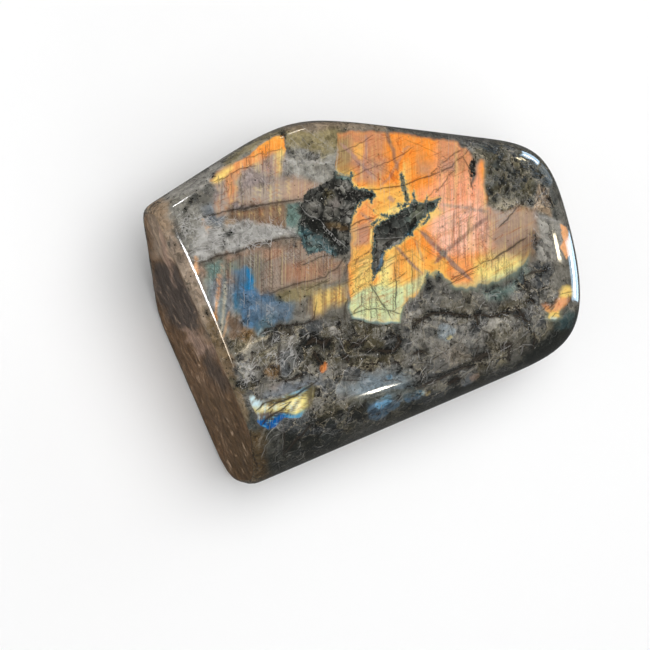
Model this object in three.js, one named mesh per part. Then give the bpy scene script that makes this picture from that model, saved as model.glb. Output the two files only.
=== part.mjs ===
// A polished labradorite freeform: one natural stone, sawn flat at one end, and ground and polished
// everywhere else into a rounded block that fills a hand.
//
// Millimetres, +Z up. The stone lies on its flat back with its polished face up. X runs from the sawn
// base (-X) to the rounded tip (+X), Y runs across the face, and Z is the thickness. The origin is in
// the middle of the stone's length and width, on the surface that it lies on.
import * as THREE from 'three';
import { mergeVertices } from 'three/addons/utils/BufferGeometryUtils.js';

// Driving sizes
const LENGTH = 121; // sawn base to tip
const WIDTH = 90; // across the face
const BASE_DISTANCE = 56.9; // from the middle of the stone to its sawn base
const MIDDLE_HEIGHT = 20; // of the middle, from which every reach below is measured
const FACE_REACH = 21; // from the middle up to the face
const FACE_LEAN = 5; // degrees: the face drops towards the tip
const FACE_CROWN = 450; // radius of the face's slight swell
const TIP_CROWN = 400; // radius of the rounded end's swell

// How widely the face rolls into the sides: crisp near the base, soft round the tip
const FACE_EDGE = { crisp: 4.5, soft: 15, softensFrom: 0, softAt: 50 };

// Each flat that the wheel ground, in the order of grinding. `azimuth` and `tilt` say which way it
// faces, in degrees, and `reach` how far it lies from the middle. `join` is how widely it rolls into
// the flats before it, and `crown` is the radius of its swell, where it has one.
const GROUND_FLATS = [
  { name: 'top side', azimuth: 62.6, tilt: 8, reach: 37.8, join: 9 },
  { name: 'upper left side', azimuth: 99.5, tilt: 12, reach: 49.6, join: 14 },
  { name: 'upper right corner', azimuth: 28.2, tilt: 14, reach: 71.2, join: 18 },
  { name: 'rounded tip', azimuth: -6.4, tilt: 18, reach: 58, join: 18, crown: TIP_CROWN },
  { name: 'lower right corner', azimuth: -45.3, tilt: 12, reach: 63.3, join: 16 },
  { name: 'lower side', azimuth: -93.2, tilt: 0, reach: 42.9, join: 16 },
  { name: 'back', azimuth: 0, tilt: -90, reach: MIDDLE_HEIGHT, join: 12 },
  { name: 'back corner', azimuth: 97, tilt: -46, reach: 26.6, join: 6 },
  { name: 'face', azimuth: 0, tilt: 90 - FACE_LEAN, reach: FACE_REACH, join: FACE_EDGE, crown: FACE_CROWN },
  { name: 'lower bevel', azimuth: -94.8, tilt: 42, reach: 35.5, join: 8 },
  { name: 'base bevel', azimuth: 177.4, tilt: 45, reach: 53.9, join: 2.2 },
];
// The saw cut comes last, and its edge is only eased
const SAWN_BASE = { name: 'sawn base', azimuth: 180, tilt: 0, reach: BASE_DISTANCE, join: 4 };

// The mesh starts as a block in this many steps, whose skin is then pressed onto the ground shape
const STEPS = { along: 42, across: 28, through: 14 };
const STEP_GROWTH = 1.3; // above 1, the steps are shorter at the sawn base
const SQUARE_FROM = 40; // distance from the sawn base where the block has its full square section
const FURTHEST = 100; // no part of the skin is further from the middle
const HALVINGS = 40; // of that distance, to find the skin

const MIDDLE = new THREE.Vector3(0, 0, MIDDLE_HEIGHT);
const BASE_MIDDLE = new THREE.Vector3(-BASE_DISTANCE, 0, MIDDLE_HEIGHT);

const { degToRad, lerp, smoothstep } = THREE.MathUtils;

// The way a flat faces
function normalOf({ azimuth, tilt }) {
  const turn = degToRad(azimuth);
  const rise = degToRad(tilt);
  return new THREE.Vector3(
    Math.cos(turn) * Math.cos(rise),
    Math.sin(turn) * Math.cos(rise),
    Math.sin(rise),
  );
}

const groundFlats = GROUND_FLATS.map((flat) => ({ ...flat, normal: normalOf(flat) }));
const sawnBase = { ...SAWN_BASE, normal: normalOf(SAWN_BASE) };

// How far a point lies outside one flat
function outsideFlat(flat, point) {
  const fromMiddle = point.clone().sub(MIDDLE);
  const height = fromMiddle.dot(flat.normal);
  const swell = flat.crown ? (fromMiddle.lengthSq() - height ** 2) / (2 * flat.crown) : 0;
  return height + swell - flat.reach;
}

function joinAt(join, x) {
  if (typeof join === 'number') return join;
  return lerp(join.crisp, join.soft, smoothstep(x, join.softensFrom, join.softAt));
}

// The greater of two distances, raised a little where they are alike: that rounds the edge between
function rolled(a, b, join) {
  const alike = Math.max(join - Math.abs(a - b), 0) / join;
  return Math.max(a, b) + (alike ** 3 * join) / 6;
}

// How far a point lies outside the ground shape, before the base is sawn
function outsideGround(point) {
  const [first, ...rest] = groundFlats;
  return rest.reduce(
    (sofar, flat) => rolled(sofar, outsideFlat(flat, point), joinAt(flat.join, point.x)),
    outsideFlat(first, point),
  );
}

function outsideStone(point) {
  return rolled(outsideGround(point), outsideFlat(sawnBase, point), sawnBase.join);
}

// The point where a ray from inside first has `outside` above `level`
function leaves(start, ray, outside, level) {
  let inside = 0;
  let beyond = FURTHEST;
  for (let halving = 0; halving < HALVINGS; halving += 1) {
    const half = (inside + beyond) / 2;
    if (outside(start.clone().addScaledVector(ray, half)) > level) beyond = half;
    else inside = half;
  }
  return start.clone().addScaledVector(ray, inside);
}

// The sawn face is flat up to here, in the direction of a point of the block's section
function rimOfSawnFace({ y, z }) {
  const outwards = new THREE.Vector3(0, y, z).normalize();
  return leaves(BASE_MIDDLE, outwards, outsideGround, -sawnBase.join);
}

// The sawn face: the block's end, drawn in to the rim
function pressedOnBase(corner) {
  const { y, z } = corner;
  if (y === 0 && z === 0) return BASE_MIDDLE.clone();
  const share = Math.max(Math.abs(y) / (WIDTH / 2), Math.abs(z) / MIDDLE_HEIGHT);
  return BASE_MIDDLE.clone().lerp(rimOfSawnFace(corner), share);
}

// Everywhere else: a ray from the middle through the block's skin, out to the ground skin. Near the
// base the block's section narrows to the rim, so that rows of faces follow the sawn edge.
function pressedOnSkin(corner) {
  const fromBase = LENGTH * (corner.x / LENGTH + 0.5) ** STEP_GROWTH;
  const square = new THREE.Vector3(-BASE_DISTANCE + fromBase, corner.y, corner.z + MIDDLE_HEIGHT);
  const narrowed = rimOfSawnFace(corner).setX(square.x);
  const target = narrowed.lerp(square, smoothstep(fromBase, 0, SQUARE_FROM));
  return leaves(MIDDLE, target.sub(MIDDLE).normalize(), outsideStone, 0);
}

// Each square of the block is two triangles, and the cut between them goes along the diagonal that
// lies nearer the skin, so that no edge of the stone is notched
function cutSquaresAlongSkin(geometry) {
  const places = geometry.getAttribute('position');
  const index = geometry.getIndex();
  const place = (i) => new THREE.Vector3().fromBufferAttribute(places, i);
  const depth = (i, j) => outsideStone(place(i).lerp(place(j), 0.5));
  for (let first = 0; first < index.count; first += 6) {
    const [a, b, d, , c] = index.array.slice(first, first + 5);
    if (depth(a, c) > depth(b, d)) index.array.set([a, b, c, a, c, d], first);
  }
}

function stoneGeometry() {
  const { along, across, through } = STEPS;
  const block = new THREE.BoxGeometry(LENGTH, WIDTH, 2 * MIDDLE_HEIGHT, along, across, through);
  block.deleteAttribute('normal');
  block.deleteAttribute('uv');
  const geometry = mergeVertices(block);
  const places = geometry.getAttribute('position');
  const corner = new THREE.Vector3();
  for (let i = 0; i < places.count; i += 1) {
    corner.fromBufferAttribute(places, i);
    const onBase = corner.x <= -LENGTH / 2;
    const pressed = onBase ? pressedOnBase(corner) : pressedOnSkin(corner);
    places.setXYZ(i, pressed.x, pressed.y, pressed.z);
  }
  cutSquaresAlongSkin(geometry);
  // The origin goes to the middle of the stone's length and width
  geometry.computeBoundingBox();
  const centre = geometry.boundingBox.getCenter(new THREE.Vector3());
  geometry.translate(-centre.x, -centre.y, -geometry.boundingBox.min.z);
  geometry.computeVertexNormals();
  return geometry;
}

// Dark grey feldspar, polished smooth
const polishedStone = new THREE.MeshStandardMaterial({ color: 0x6b6862, roughness: 0.15, metalness: 0 });

const stone = new THREE.Mesh(stoneGeometry(), polishedStone);
stone.name = 'stone';

const labradorite = new THREE.Group();
labradorite.add(stone);

export default labradorite;
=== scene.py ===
# %% [markdown]
# # Polished labradorite
# A block of labradorite, 12 cm long, sawn flat at one end and ground and polished everywhere else.
# Light that enters the stone is split by very thin layers inside it, and comes back as flashes of
# orange, gold, green and blue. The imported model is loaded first, as a fixed frame: its one solid,
# `stone`, gives the size and place, and this script gives the finish.

# %% Load the frame
from math import cos, radians, sin

import bmesh
import bpy
import numpy as np
from mathutils import Matrix, Vector


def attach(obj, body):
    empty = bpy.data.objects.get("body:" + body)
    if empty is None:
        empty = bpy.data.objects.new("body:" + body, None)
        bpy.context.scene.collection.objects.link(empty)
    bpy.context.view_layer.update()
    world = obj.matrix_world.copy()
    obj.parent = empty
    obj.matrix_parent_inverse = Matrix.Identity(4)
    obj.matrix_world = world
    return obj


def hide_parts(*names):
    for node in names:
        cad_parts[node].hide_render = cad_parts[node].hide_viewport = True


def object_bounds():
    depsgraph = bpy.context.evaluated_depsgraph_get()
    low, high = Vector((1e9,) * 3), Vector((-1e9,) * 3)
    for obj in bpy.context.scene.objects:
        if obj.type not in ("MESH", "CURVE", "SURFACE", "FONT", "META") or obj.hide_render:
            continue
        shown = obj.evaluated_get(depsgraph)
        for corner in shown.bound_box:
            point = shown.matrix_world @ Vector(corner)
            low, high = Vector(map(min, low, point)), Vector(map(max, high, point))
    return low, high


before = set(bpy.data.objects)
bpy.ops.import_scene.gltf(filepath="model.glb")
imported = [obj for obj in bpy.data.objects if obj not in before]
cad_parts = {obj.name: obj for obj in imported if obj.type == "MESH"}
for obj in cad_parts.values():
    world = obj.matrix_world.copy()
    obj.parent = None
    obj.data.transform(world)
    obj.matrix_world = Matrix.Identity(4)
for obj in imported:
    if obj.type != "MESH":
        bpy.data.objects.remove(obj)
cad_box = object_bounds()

print("stone from", cad_box[0], "to", cad_box[1])

# %% [markdown]
# ## Camera
# The photograph looks down on the face, a little from the sawn end, with the stone turned about
# 25 degrees in the picture. The camera was found by lining up the stone's outline and ridges.
# `MIDDLE` is the point that the part's source measures every ground flat from. One function gives
# the pixel of the photograph where a point of the stone is seen, for the camera and the markings.

# %% Where the camera stands
PHOTO_PIXELS = 650
SENSOR = 36.0
FOCAL_PIXELS = 1617.0
MIDDLE = np.array([-3.474, -0.013, 20.0])  # millimetres, as all the stone's own measures here
TOWARDS_CAMERA = np.array([-0.33, 0.138, 0.934])
TOWARDS_CAMERA /= np.linalg.norm(TOWARDS_CAMERA)
ROLL = radians(25.486)
CAMERA_DISTANCE = 420.0
AIM_POINT = MIDDLE + (-7, -6, 22)
AIM_PIXEL = np.array([393.1, 293.75])

level = np.array([1.0, 0, 0]) - TOWARDS_CAMERA[0] * TOWARDS_CAMERA
level /= np.linalg.norm(level)
upright = np.cross(TOWARDS_CAMERA, level)
RIGHT = cos(ROLL) * level - sin(ROLL) * upright
UP = sin(ROLL) * level + cos(ROLL) * upright
off_centre = (AIM_PIXEL - PHOTO_PIXELS / 2) * CAMERA_DISTANCE / FOCAL_PIXELS
EYE = AIM_POINT + CAMERA_DISTANCE * TOWARDS_CAMERA - off_centre[0] * RIGHT + off_centre[1] * UP
print("the eye is at", EYE.round(1), "mm")


# %% From the stone to the photograph
def pixel_of(spots):
    """Where points of the stone, in millimetres, are seen in the photograph."""
    ray = spots - EYE
    depth = -(ray @ TOWARDS_CAMERA)
    across = PHOTO_PIXELS / 2 + FOCAL_PIXELS * (ray @ RIGHT) / depth
    down = PHOTO_PIXELS / 2 - FOCAL_PIXELS * (ray @ UP) / depth
    return np.stack([across, down], axis=1)


print("the stone's middle is seen at pixel", pixel_of(MIDDLE[None]).round(1)[0])

# %% Camera
camera = bpy.data.objects.new("camera", bpy.data.cameras.new("camera"))
camera.data.lens = SENSOR * FOCAL_PIXELS / PHOTO_PIXELS
camera.data.sensor_width = SENSOR
turn = Matrix((RIGHT, UP, TOWARDS_CAMERA)).transposed().to_4x4()
camera.matrix_world = Matrix.Translation(Vector(EYE) / 1000) @ turn
bpy.context.scene.collection.objects.link(camera)
bpy.context.scene.camera = camera
print("lens", round(camera.data.lens, 1), "mm")

# %% [markdown]
# ## The ground shape
# A polisher holds the block against a flat wheel, one side after another, and rolls it over the
# edges. The part's source says the same: each flat faces one way at some reach from the middle,
# and joins the flats before it over some width. Here is that shape as a function, so that a finer
# mesh can be pressed onto exactly the same surface. The values repeat those of the source.

# %% The wheel's flats
# Name, the way it faces (azimuth and tilt, degrees), reach, join and radius of its swell
GROUND_FLATS = (
    ("top side", 62.6, 8, 37.8, 9, None),
    ("upper left side", 99.5, 12, 49.6, 14, None),
    ("upper right corner", 28.2, 14, 71.2, 18, None),
    ("rounded tip", -6.4, 18, 58, 18, 400),
    ("lower right corner", -45.3, 12, 63.3, 16, None),
    ("lower side", -93.2, 0, 42.9, 16, None),
    ("back", 0, -90, 20, 12, None),
    ("back corner", 97, -46, 26.6, 6, None),
    ("face", 0, 85, 21, "softens", 450),
    ("lower bevel", -94.8, 42, 35.5, 8, None),
    ("base bevel", 177.4, 45, 53.9, 2.2, None),
    ("sawn base", 180, 0, 56.9, 4, None),
)
FACE_JOIN_CRISP = 4.5
FACE_JOIN_SOFT = 15
FACE_SOFT_AT = 50  # the face's edge is crisp from the middle to the base, and soft from here on
print(len(GROUND_FLATS), "ground flats")


# %% The ground shape as a function
def smooth_step(value, low, high):
    part = np.clip((value - low) / (high - low), 0, 1)
    return part * part * (3 - 2 * part)


def way(azimuth, tilt):
    turn, rise = radians(azimuth), radians(tilt)
    return np.array([cos(turn) * cos(rise), sin(turn) * cos(rise), sin(rise)])


def rolled(one, other, join):
    """The greater of two distances, raised a little where they are alike."""
    alike = np.maximum(join - np.abs(one - other), 0) / join
    return np.maximum(one, other) + alike**3 * join / 6


def outside(spots):
    """How far points lie outside the ground shape."""
    reach_to = spots - MIDDLE
    soft = smooth_step(reach_to[:, 0], 0, FACE_SOFT_AT)
    face_join = FACE_JOIN_CRISP + (FACE_JOIN_SOFT - FACE_JOIN_CRISP) * soft
    sofar = None
    for _, azimuth, tilt, reach, join, swell in GROUND_FLATS:
        height = reach_to @ way(azimuth, tilt)
        distance = height - reach
        if swell:
            distance = distance + ((reach_to**2).sum(axis=1) - height**2) / (2 * swell)
        width = face_join if join == "softens" else join
        sofar = distance if sofar is None else rolled(sofar, distance, width)
    return sofar


print("the middle lies", -round(float(outside(MIDDLE[None])[0]), 1), "mm under the surface")

# %% Press points onto the surface
FEEL = 0.05  # millimetres either way, to feel the slope
PRESSES = 3


def slope_at(spots):
    steps = FEEL * np.eye(3)
    return np.stack(
        [(outside(spots + step) - outside(spots - step)) / (2 * FEEL) for step in steps], axis=1
    )


def press(spots):
    for _ in range(PRESSES):
        slope = slope_at(spots)
        spots = spots - slope * (outside(spots) / (slope**2).sum(axis=1))[:, None]
    return spots


print("the middle of the top is at", press(MIDDLE[None] + (0, 0, 15)).round(2)[0], "mm")

# %% [markdown]
# ## The fine stone
# The frame's mesh has steps of about 3 mm, which is fine for contact but coarse for a polish that
# mirrors lamps, and too coarse to carry the markings. A copy of it is merged and subdivided, once
# everywhere and twice more where the photograph sees it, and each time pressed onto the surface.

# %% Subdivide a copy
WELD = 1e-6
surface = bmesh.new()
surface.from_mesh(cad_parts["stone"].data)
bmesh.ops.remove_doubles(surface, verts=surface.verts, dist=WELD)
bmesh.ops.subdivide_edges(surface, edges=surface.edges, cuts=1, use_grid_fill=True)


def press_mesh(mesh):
    spots = np.array([vertex.co[:] for vertex in mesh.verts]) * 1000
    for vertex, spot in zip(mesh.verts, press(spots) / 1000):
        vertex.co = spot
    mesh.normal_update()


press_mesh(surface)
eye_way = Vector(TOWARDS_CAMERA)
print(len(surface.faces), "faces on the surface")


# %% Make it finer where it is seen
def finer(wanted):
    edges = {edge for face in surface.faces if wanted(face) for edge in face.edges}
    bmesh.ops.subdivide_edges(surface, edges=list(edges), cuts=1, use_grid_fill=True)
    press_mesh(surface)


FINER_FROM = (0.3, 0.5)  # for each round, the cosine between a face's direction and the camera's
SAWN_FACES = -0.95  # the sawn end's faces point this far along X, or further
for least in FINER_FROM:
    finer(lambda face: face.normal.dot(eye_way) > least and face.normal.x > SAWN_FACES)
finer(lambda face: face.normal.x < SAWN_FACES)
bmesh.ops.triangulate(surface, faces=surface.faces)
print(len(surface.faces), "faces after the rounds")

# %% Points and the way the surface faces there
stone_mesh = bpy.data.meshes.new("labradorite_stone")
surface.to_mesh(stone_mesh)
surface.free()
spots = np.zeros(3 * len(stone_mesh.vertices))
stone_mesh.vertices.foreach_get("co", spots)
spots = spots.reshape(-1, 3) * 1000
facing = slope_at(spots)
facing /= np.linalg.norm(facing, axis=1)[:, None]
print(len(stone_mesh.polygons), "triangles,", len(spots), "points")

# %% [markdown]
# ## Markings
# The colours of labradorite sit in zones of the crystal, so no texture formula gives this stone's
# own pattern. They are painted one by one onto the points of the mesh, as a retoucher would: soft
# patches for the zones, strokes for cracks and healed lines. Each outline was drawn over the
# photograph, in its pixels, and lands where that pixel sees the stone. There are three coats:
# the grey ground, the flash that shines through it, and the black inclusions on top.

# %% Noise for uneven edges
HASH_ROW = np.array([374761393, 668265263, 2147483647])
HASH_SEED = 974634777
HASH_TURN = 1274126177
HASH_BITS = 0xFFFF


def noise(places, size, seed, octaves=3):
    """Smooth noise, about -1 to 1, with lumps of this size in each direction."""
    total = np.zeros(len(places))
    for octave in range(octaves):
        grid = places * 2.0**octave / size + 17.3 * octave
        cell = np.floor(grid).astype(np.int64)
        part = grid - cell
        part = part * part * (3 - 2 * part)
        for corner in np.ndindex(*(2,) * places.shape[1]):
            word = ((cell + corner) * HASH_ROW[: places.shape[1]]).sum(axis=1)
            word = word + (seed + octave) * HASH_SEED
            word = (word ^ (word >> 13)) * HASH_TURN
            value = ((word ^ (word >> 16)) & HASH_BITS) / (HASH_BITS / 2) - 1
            total += value * np.prod(np.where(corner, part, 1 - part), axis=1) / 2.0**octave
    return total / 1.4


pixels = pixel_of(spots)
# 1 where the photograph sees the stone, 0 on the sides and back
sight = facing @ TOWARDS_CAMERA
seen = smooth_step(sight, 0.02, 0.22)
wander = np.stack([noise(pixels, 7.0, 1, 4), noise(pixels, 7.0, 2, 4)], axis=1)
print("points in sight:", int((seen > 0.5).sum()))

# %% Shades
SHADES = {
    "ground grey": (112, 109, 101),
    "light grey": (160, 157, 150),
    "pale grey": (184, 182, 179),
    "clear grey": (150, 148, 140),
    "veil grey": (164, 162, 157),
    "white": (226, 224, 220),
    "blue grey": (122, 128, 134),
    "dark grey": (72, 71, 67),
    "ink grey": (52, 53, 50),
    "black": (22, 22, 20),
    "green black": (30, 33, 29),
    "purple grey": (154, 141, 137),
    "pink brown": (150, 121, 102),
    "brown": (118, 97, 80),
    "deep brown": (84, 66, 44),
    "crack": (46, 37, 28),
    "olive": (112, 102, 72),
    "khaki": (140, 128, 92),
    "tan": (160, 137, 112),
    "cream": (205, 192, 165),
    "teal": (106, 132, 125),
    "deep teal": (62, 88, 92),
    "azure": (28, 124, 182),
    "steel blue": (78, 114, 146),
    "violet grey": (116, 118, 126),
    "gleam": (152, 136, 122),
    "pale gleam": (168, 153, 141),
    "smoke grey": (92, 90, 84),
    "slate": (66, 69, 66),
    "sage": (128, 136, 124),
    "band": (158, 124, 114),
    "band brown": (150, 108, 84),
    "bevel brown": (124, 104, 78),
    "fibre brown": (114, 87, 61),
    "fibre slate": (80, 73, 70),
    "fibre beige": (156, 137, 118),
    "fibre pink": (162, 134, 116),
    "fibre light": (196, 168, 140),
    "bevel olive": (88, 68, 42),
    "sky": (120, 180, 220),
    "orange": (250, 150, 58),
    "soft orange": (246, 160, 92),
    "pink orange": (252, 172, 132),
    "pink peach": (255, 198, 172),
    "bevel grey": (160, 142, 124),
    "near black": (30, 32, 28),
    "rust": (200, 118, 62),
    "dull orange": (205, 140, 98),
    "peach": (250, 184, 130),
    "gold": (250, 188, 92),
    "yellow": (248, 214, 122),
    "lemon": (252, 236, 150),
    "pale green": (206, 220, 172),
    "mauve": (178, 140, 130),
    "ice": (205, 232, 240),
    "ice blue": (100, 172, 204),
    "deep azure": (14, 92, 166),
    "violet brown": (96, 90, 96),
    "cream light": (252, 242, 190),
    "gleam brown": (136, 112, 92),
    "soft peach": (240, 174, 130),
    "haze blue": (140, 158, 170),
    "amber brown": (132, 98, 58),
    "smoke olive": (84, 78, 58),
}
print(len(SHADES), "shades")


# %% Distances in the photograph
def drawn(line):
    """Reads a line or an outline, written as the pixels of its points: across,down across,down."""
    return np.array([point.split(",") for point in line.split()], dtype=float)


def gap_to(line, places):
    """The distance from places to a line through several points, and how far along it they are."""
    best = np.full(len(places), np.inf)
    share = np.zeros(len(places))
    for leg, (start, end) in enumerate(zip(line[:-1], line[1:])):
        run = end - start
        along = np.clip((places - start) @ run / (run @ run), 0, 1)
        gap = np.linalg.norm(places - start - along[:, None] * run, axis=1)
        share = np.where(gap < best, (leg + along) / (len(line) - 1), share)
        best = np.minimum(best, gap)
    return best, share


def inside_gap(outline, places):
    """The distance to a closed outline, less than 0 inside it."""
    closed = np.concatenate([outline, outline[:1]])
    best, _ = gap_to(closed, places)
    crossings = np.zeros(len(places), dtype=int)
    for (x1, y1), (x2, y2) in zip(closed[:-1], closed[1:]):
        spans = (y1 > places[:, 1]) != (y2 > places[:, 1])
        reach = x1 + (places[:, 1] - y1) / (y2 - y1 + 1e-9) * (x2 - x1)
        crossings += spans & (places[:, 0] < reach)
    return np.where(crossings % 2, -best, best)


def near(line, margin):
    low, high = line.min(axis=0) - margin, line.max(axis=0) + margin
    return np.flatnonzero(((pixels > low) & (pixels < high)).all(axis=1) & (seen > 0))


# %% Brushes
def coat(shade):
    return np.tile(np.array(SHADES[shade]) / 255, (len(spots), 1))


def cover(outline, soft, rough):
    """The points near an outline, and the share of each that lies inside it."""
    outline = drawn(outline)
    at = near(outline, 2 * soft + 2 * rough)
    gap = inside_gap(outline, pixels[at] + rough * wander[at])
    return at, smooth_step(-gap, -soft, soft)


def tapered(along, least):
    """The share of its width that a line has, this far along it."""
    return np.clip(8 * along * (1 - along), least, 1) ** 0.5


def patch(canvas, shade, soft, rough, outline, strength=1.0, grain=None):
    """Paints inside an outline: `soft` is the width of its edge, `rough` how far that wanders."""
    at, share = cover(outline, soft, rough)
    share = share * strength * seen[at]
    if grain is not None:
        share = share * grain[at]
    canvas[at] += (np.array(SHADES[shade]) / 255 - canvas[at]) * share[:, None]


def stroke(canvas, shade, width, line, strength=1.0, rough=0.6, soft=1.0):
    """Paints along a line, tapered to its ends."""
    line = drawn(line)
    at = near(line, width + 2 * soft + 2 * rough)
    gap, along = gap_to(line, pixels[at] + rough * wander[at])
    taper = tapered(along, 0)
    share = smooth_step(width / 2 * taper - gap, -soft, soft) * strength * np.minimum(1, 0.3 + taper)
    canvas[at] += (np.array(SHADES[shade]) / 255 - canvas[at]) * share[:, None]


# %% Tables of patches and strokes
def lay(canvas, patches):
    """Patches are name, shade, width of the soft edge, how far it wanders, outline, strength."""
    for name, shade, soft, rough, outline, *strength in patches:
        patch(canvas, shade, soft, rough, outline, *strength)
    print(len(patches), "patches, the first is the", patches[0][0])


def draw(canvas, strokes, rough, soft):
    """Strokes are name, shade, width, line and strength."""
    for name, shade, width, line, strength in strokes:
        stroke(canvas, shade, width, line, strength, rough, soft)
    print(len(strokes), "strokes, the first is the", strokes[0][0])


# %% Clouds and streaks
def clouds(size, seed, low, high):
    """Noise in lumps of this size, as a share from 0 where it is low to 1 where it is high."""
    return smooth_step(noise(pixels, size, seed), low, high)


def streaks(length, width, seed, lean=0.0):
    """Noise from 0 to 1 in streaks that run down the photograph, leaning this many degrees."""
    slant = radians(lean)
    across = pixels[:, 0] * cos(slant) + pixels[:, 1] * sin(slant)
    along = pixels[:, 1] * cos(slant) - pixels[:, 0] * sin(slant)
    return 0.5 + 0.5 * noise(np.stack([across / width, along / length], axis=1), 1.0, seed, 2)

# %% Maps of distances
MAP_REACH = 12.0  # pixels; further from an outline its map says only this


def distance_map():
    return np.full(len(spots), MAP_REACH)


def carve(distance, outline, rough):
    """Adds an outline to a map of distances."""
    outline = drawn(outline)
    at = near(outline, MAP_REACH + 2 * rough)
    gap = inside_gap(outline, pixels[at] + rough * wander[at])
    distance[at] = np.minimum(distance[at], gap)


def blots(distance, rough, lines):
    """Adds thick, tapered lines to a map of distances. Lines are name, width and line."""
    for name, width, line in lines:
        line = drawn(line)
        at = near(line, MAP_REACH + 2 * rough)
        gap, along = gap_to(line, pixels[at] + rough * wander[at])
        distance[at] = np.minimum(distance[at], gap - width / 2 * tapered(along, 0.05))
    print(len(lines), "blots, the first is the", lines[0][0])

# %% Maps of thin lines
LINE_REACH = 3.5  # pixels
FAR = 60.0  # widths, where no line is near


def score(lines, tones, width, line, tone, rough):
    """Adds a tapered line to a map that counts widths from it, less than 0 on its left side."""
    line = np.array(line, dtype=float)
    at = near(line, 4 + 2 * rough)
    places = pixels[at] + rough * wander[at]
    gap, along = gap_to(line, places)
    leg = np.minimum((along * (len(line) - 1)).astype(int), len(line) - 2)
    run, back = line[leg + 1] - line[leg], places - line[leg]
    side = np.where(run[:, 0] * back[:, 1] - run[:, 1] * back[:, 0] < 0, -1.0, 1.0)
    count = side * np.where(gap < LINE_REACH, gap / (width * tapered(along, 0.1)), FAR)
    closer = np.abs(count) < np.abs(lines[at])
    lines[at] = np.where(closer, count, lines[at])
    tones[at] = np.where(closer & (gap < LINE_REACH), tone, tones[at])


def mark(lines, tones, rough, marks, thin=1.0, faint=1.0):
    """Scores marks: name, width, tone and line."""
    for name, width, tone, line in marks:
        score(lines, tones, thin * width, drawn(line), faint * tone, rough)
    print(len(marks), "marks, the first is the", marks[0][0])

# %% [markdown]
# ### The grey ground
# Between the flashes the stone is clear grey feldspar over darker grains. It is olive and tan where
# iron has stained it, pale where a healed crack scatters light, and bluish where a weak flash shows.

# %% The ground coat
fine_lumps = noise(spots, 2.2, 11)
broad_lumps = noise(spots, 11.0, 12)
ground = coat("ground grey")
ground *= (1 + 0.16 * broad_lumps + 0.10 * fine_lumps)[:, None]
print("ground from", round(float(ground.min()), 2), "to", round(float(ground.max()), 2))

# %% Ground at the upper left
lay(ground, (
    ("upper left band", "light grey", 5, 4, "148,205 190,176 230,153 283,128 284,140 262,147 243,160 "
     "225,172 213,181 190,193 170,206"),
    ("olive end of the band", "khaki", 4, 3, "224,162 250,143 284,127 284,134 262,142 246,154 228,168"),
    ("tan corner", "tan", 5, 4, "146,205 156,197 168,200 168,212 180,230 178,244 163,242 150,232"),
    ("speckled grey", "ground grey", 5, 4, "172,206 200,190 200,215 203,250 190,262 180,242"),
    ("pale scratches at the left", "clear grey", 5, 4, "166,206 184,198 204,202 206,250 190,262 "
     "176,240", 0.6),
    ("grey above the veil", "purple grey", 5, 3, "213,184 240,165 284,148 300,165 300,203 262,206 "
     "232,212 216,216"),
    ("pink brown of the band", "pink brown", 6, 3, "272,182 300,176 318,186 306,196 300,201 275,203"),
    ("clear grey", "clear grey", 7, 4, "283,146 336,150 336,172 324,184 300,180 284,178"),
    ("khaki under the top edge", "khaki", 5, 4, "284,134 300,130 345,129 338,150 322,156 300,146 "
     "285,146"),
    ("blue smudge", "smoke grey", 4, 4, "203,186 214,182 216,191 208,202 196,208 188,208 192,197", 0.7),
    ("pale blue", "blue grey", 5, 3, "203,205 222,200 228,212 225,226 204,222"),
    ("striped brown", "brown", 3, 2, "228,214 262,207 285,204 285,228 262,224 246,219 232,222"),
    ("tan square", "tan", 2, 2, "224,216 236,214 235,224 226,228"),
))

# %% Ground of the veil, the brown field and the blue field
lay(ground, (
    ("teal by the island", "teal", 4, 3, "284,204 301,202 300,222 298,236 285,224"),
    ("veil", "veil grey", 4, 4, "200,226 212,224 222,230 236,223 250,220 262,222 274,226 286,229 "
     "298,226 297,236 275,238 250,246 226,254 200,260 192,250"),
    ("red brown below the veil", "pink brown", 7, 4, "222,258 260,246 300,240 330,255 345,262 340,280 "
     "300,284 262,290 230,275 205,285 196,268"),
    ("olive under the brown line", "khaki", 5, 4, "272,292 305,282 330,277 320,290 300,300 278,306"),
    ("green at the left", "teal", 5, 3, "207,264 222,260 224,272 214,290 206,284"),
    ("teal at the middle", "teal", 5, 3, "236,262 252,259 254,274 240,280"),
    ("pale speck cloud", "light grey", 4, 4, "256,258 270,256 268,274 262,292 254,290"),
    ("blue grey stripes", "blue grey", 5, 3, "206,284 220,276 232,276 234,300 226,330 216,318"),
    ("steel blue", "steel blue", 6, 4, "232,284 244,276 258,286 276,296 292,305 290,318 268,326 258,332 "
     "246,330 236,312"),
    ("blue's pale heart", "blue grey", 7, 4, "250,302 270,300 290,306 284,318 262,322 250,316", 0.65),
    ("blue's green side", "deep teal", 5, 3, "256,320 276,314 270,330 254,334", 0.5),
    ("brown below the blue", "brown", 4, 3, "228,318 240,316 246,330 256,334 238,344 228,340"),
))

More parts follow.
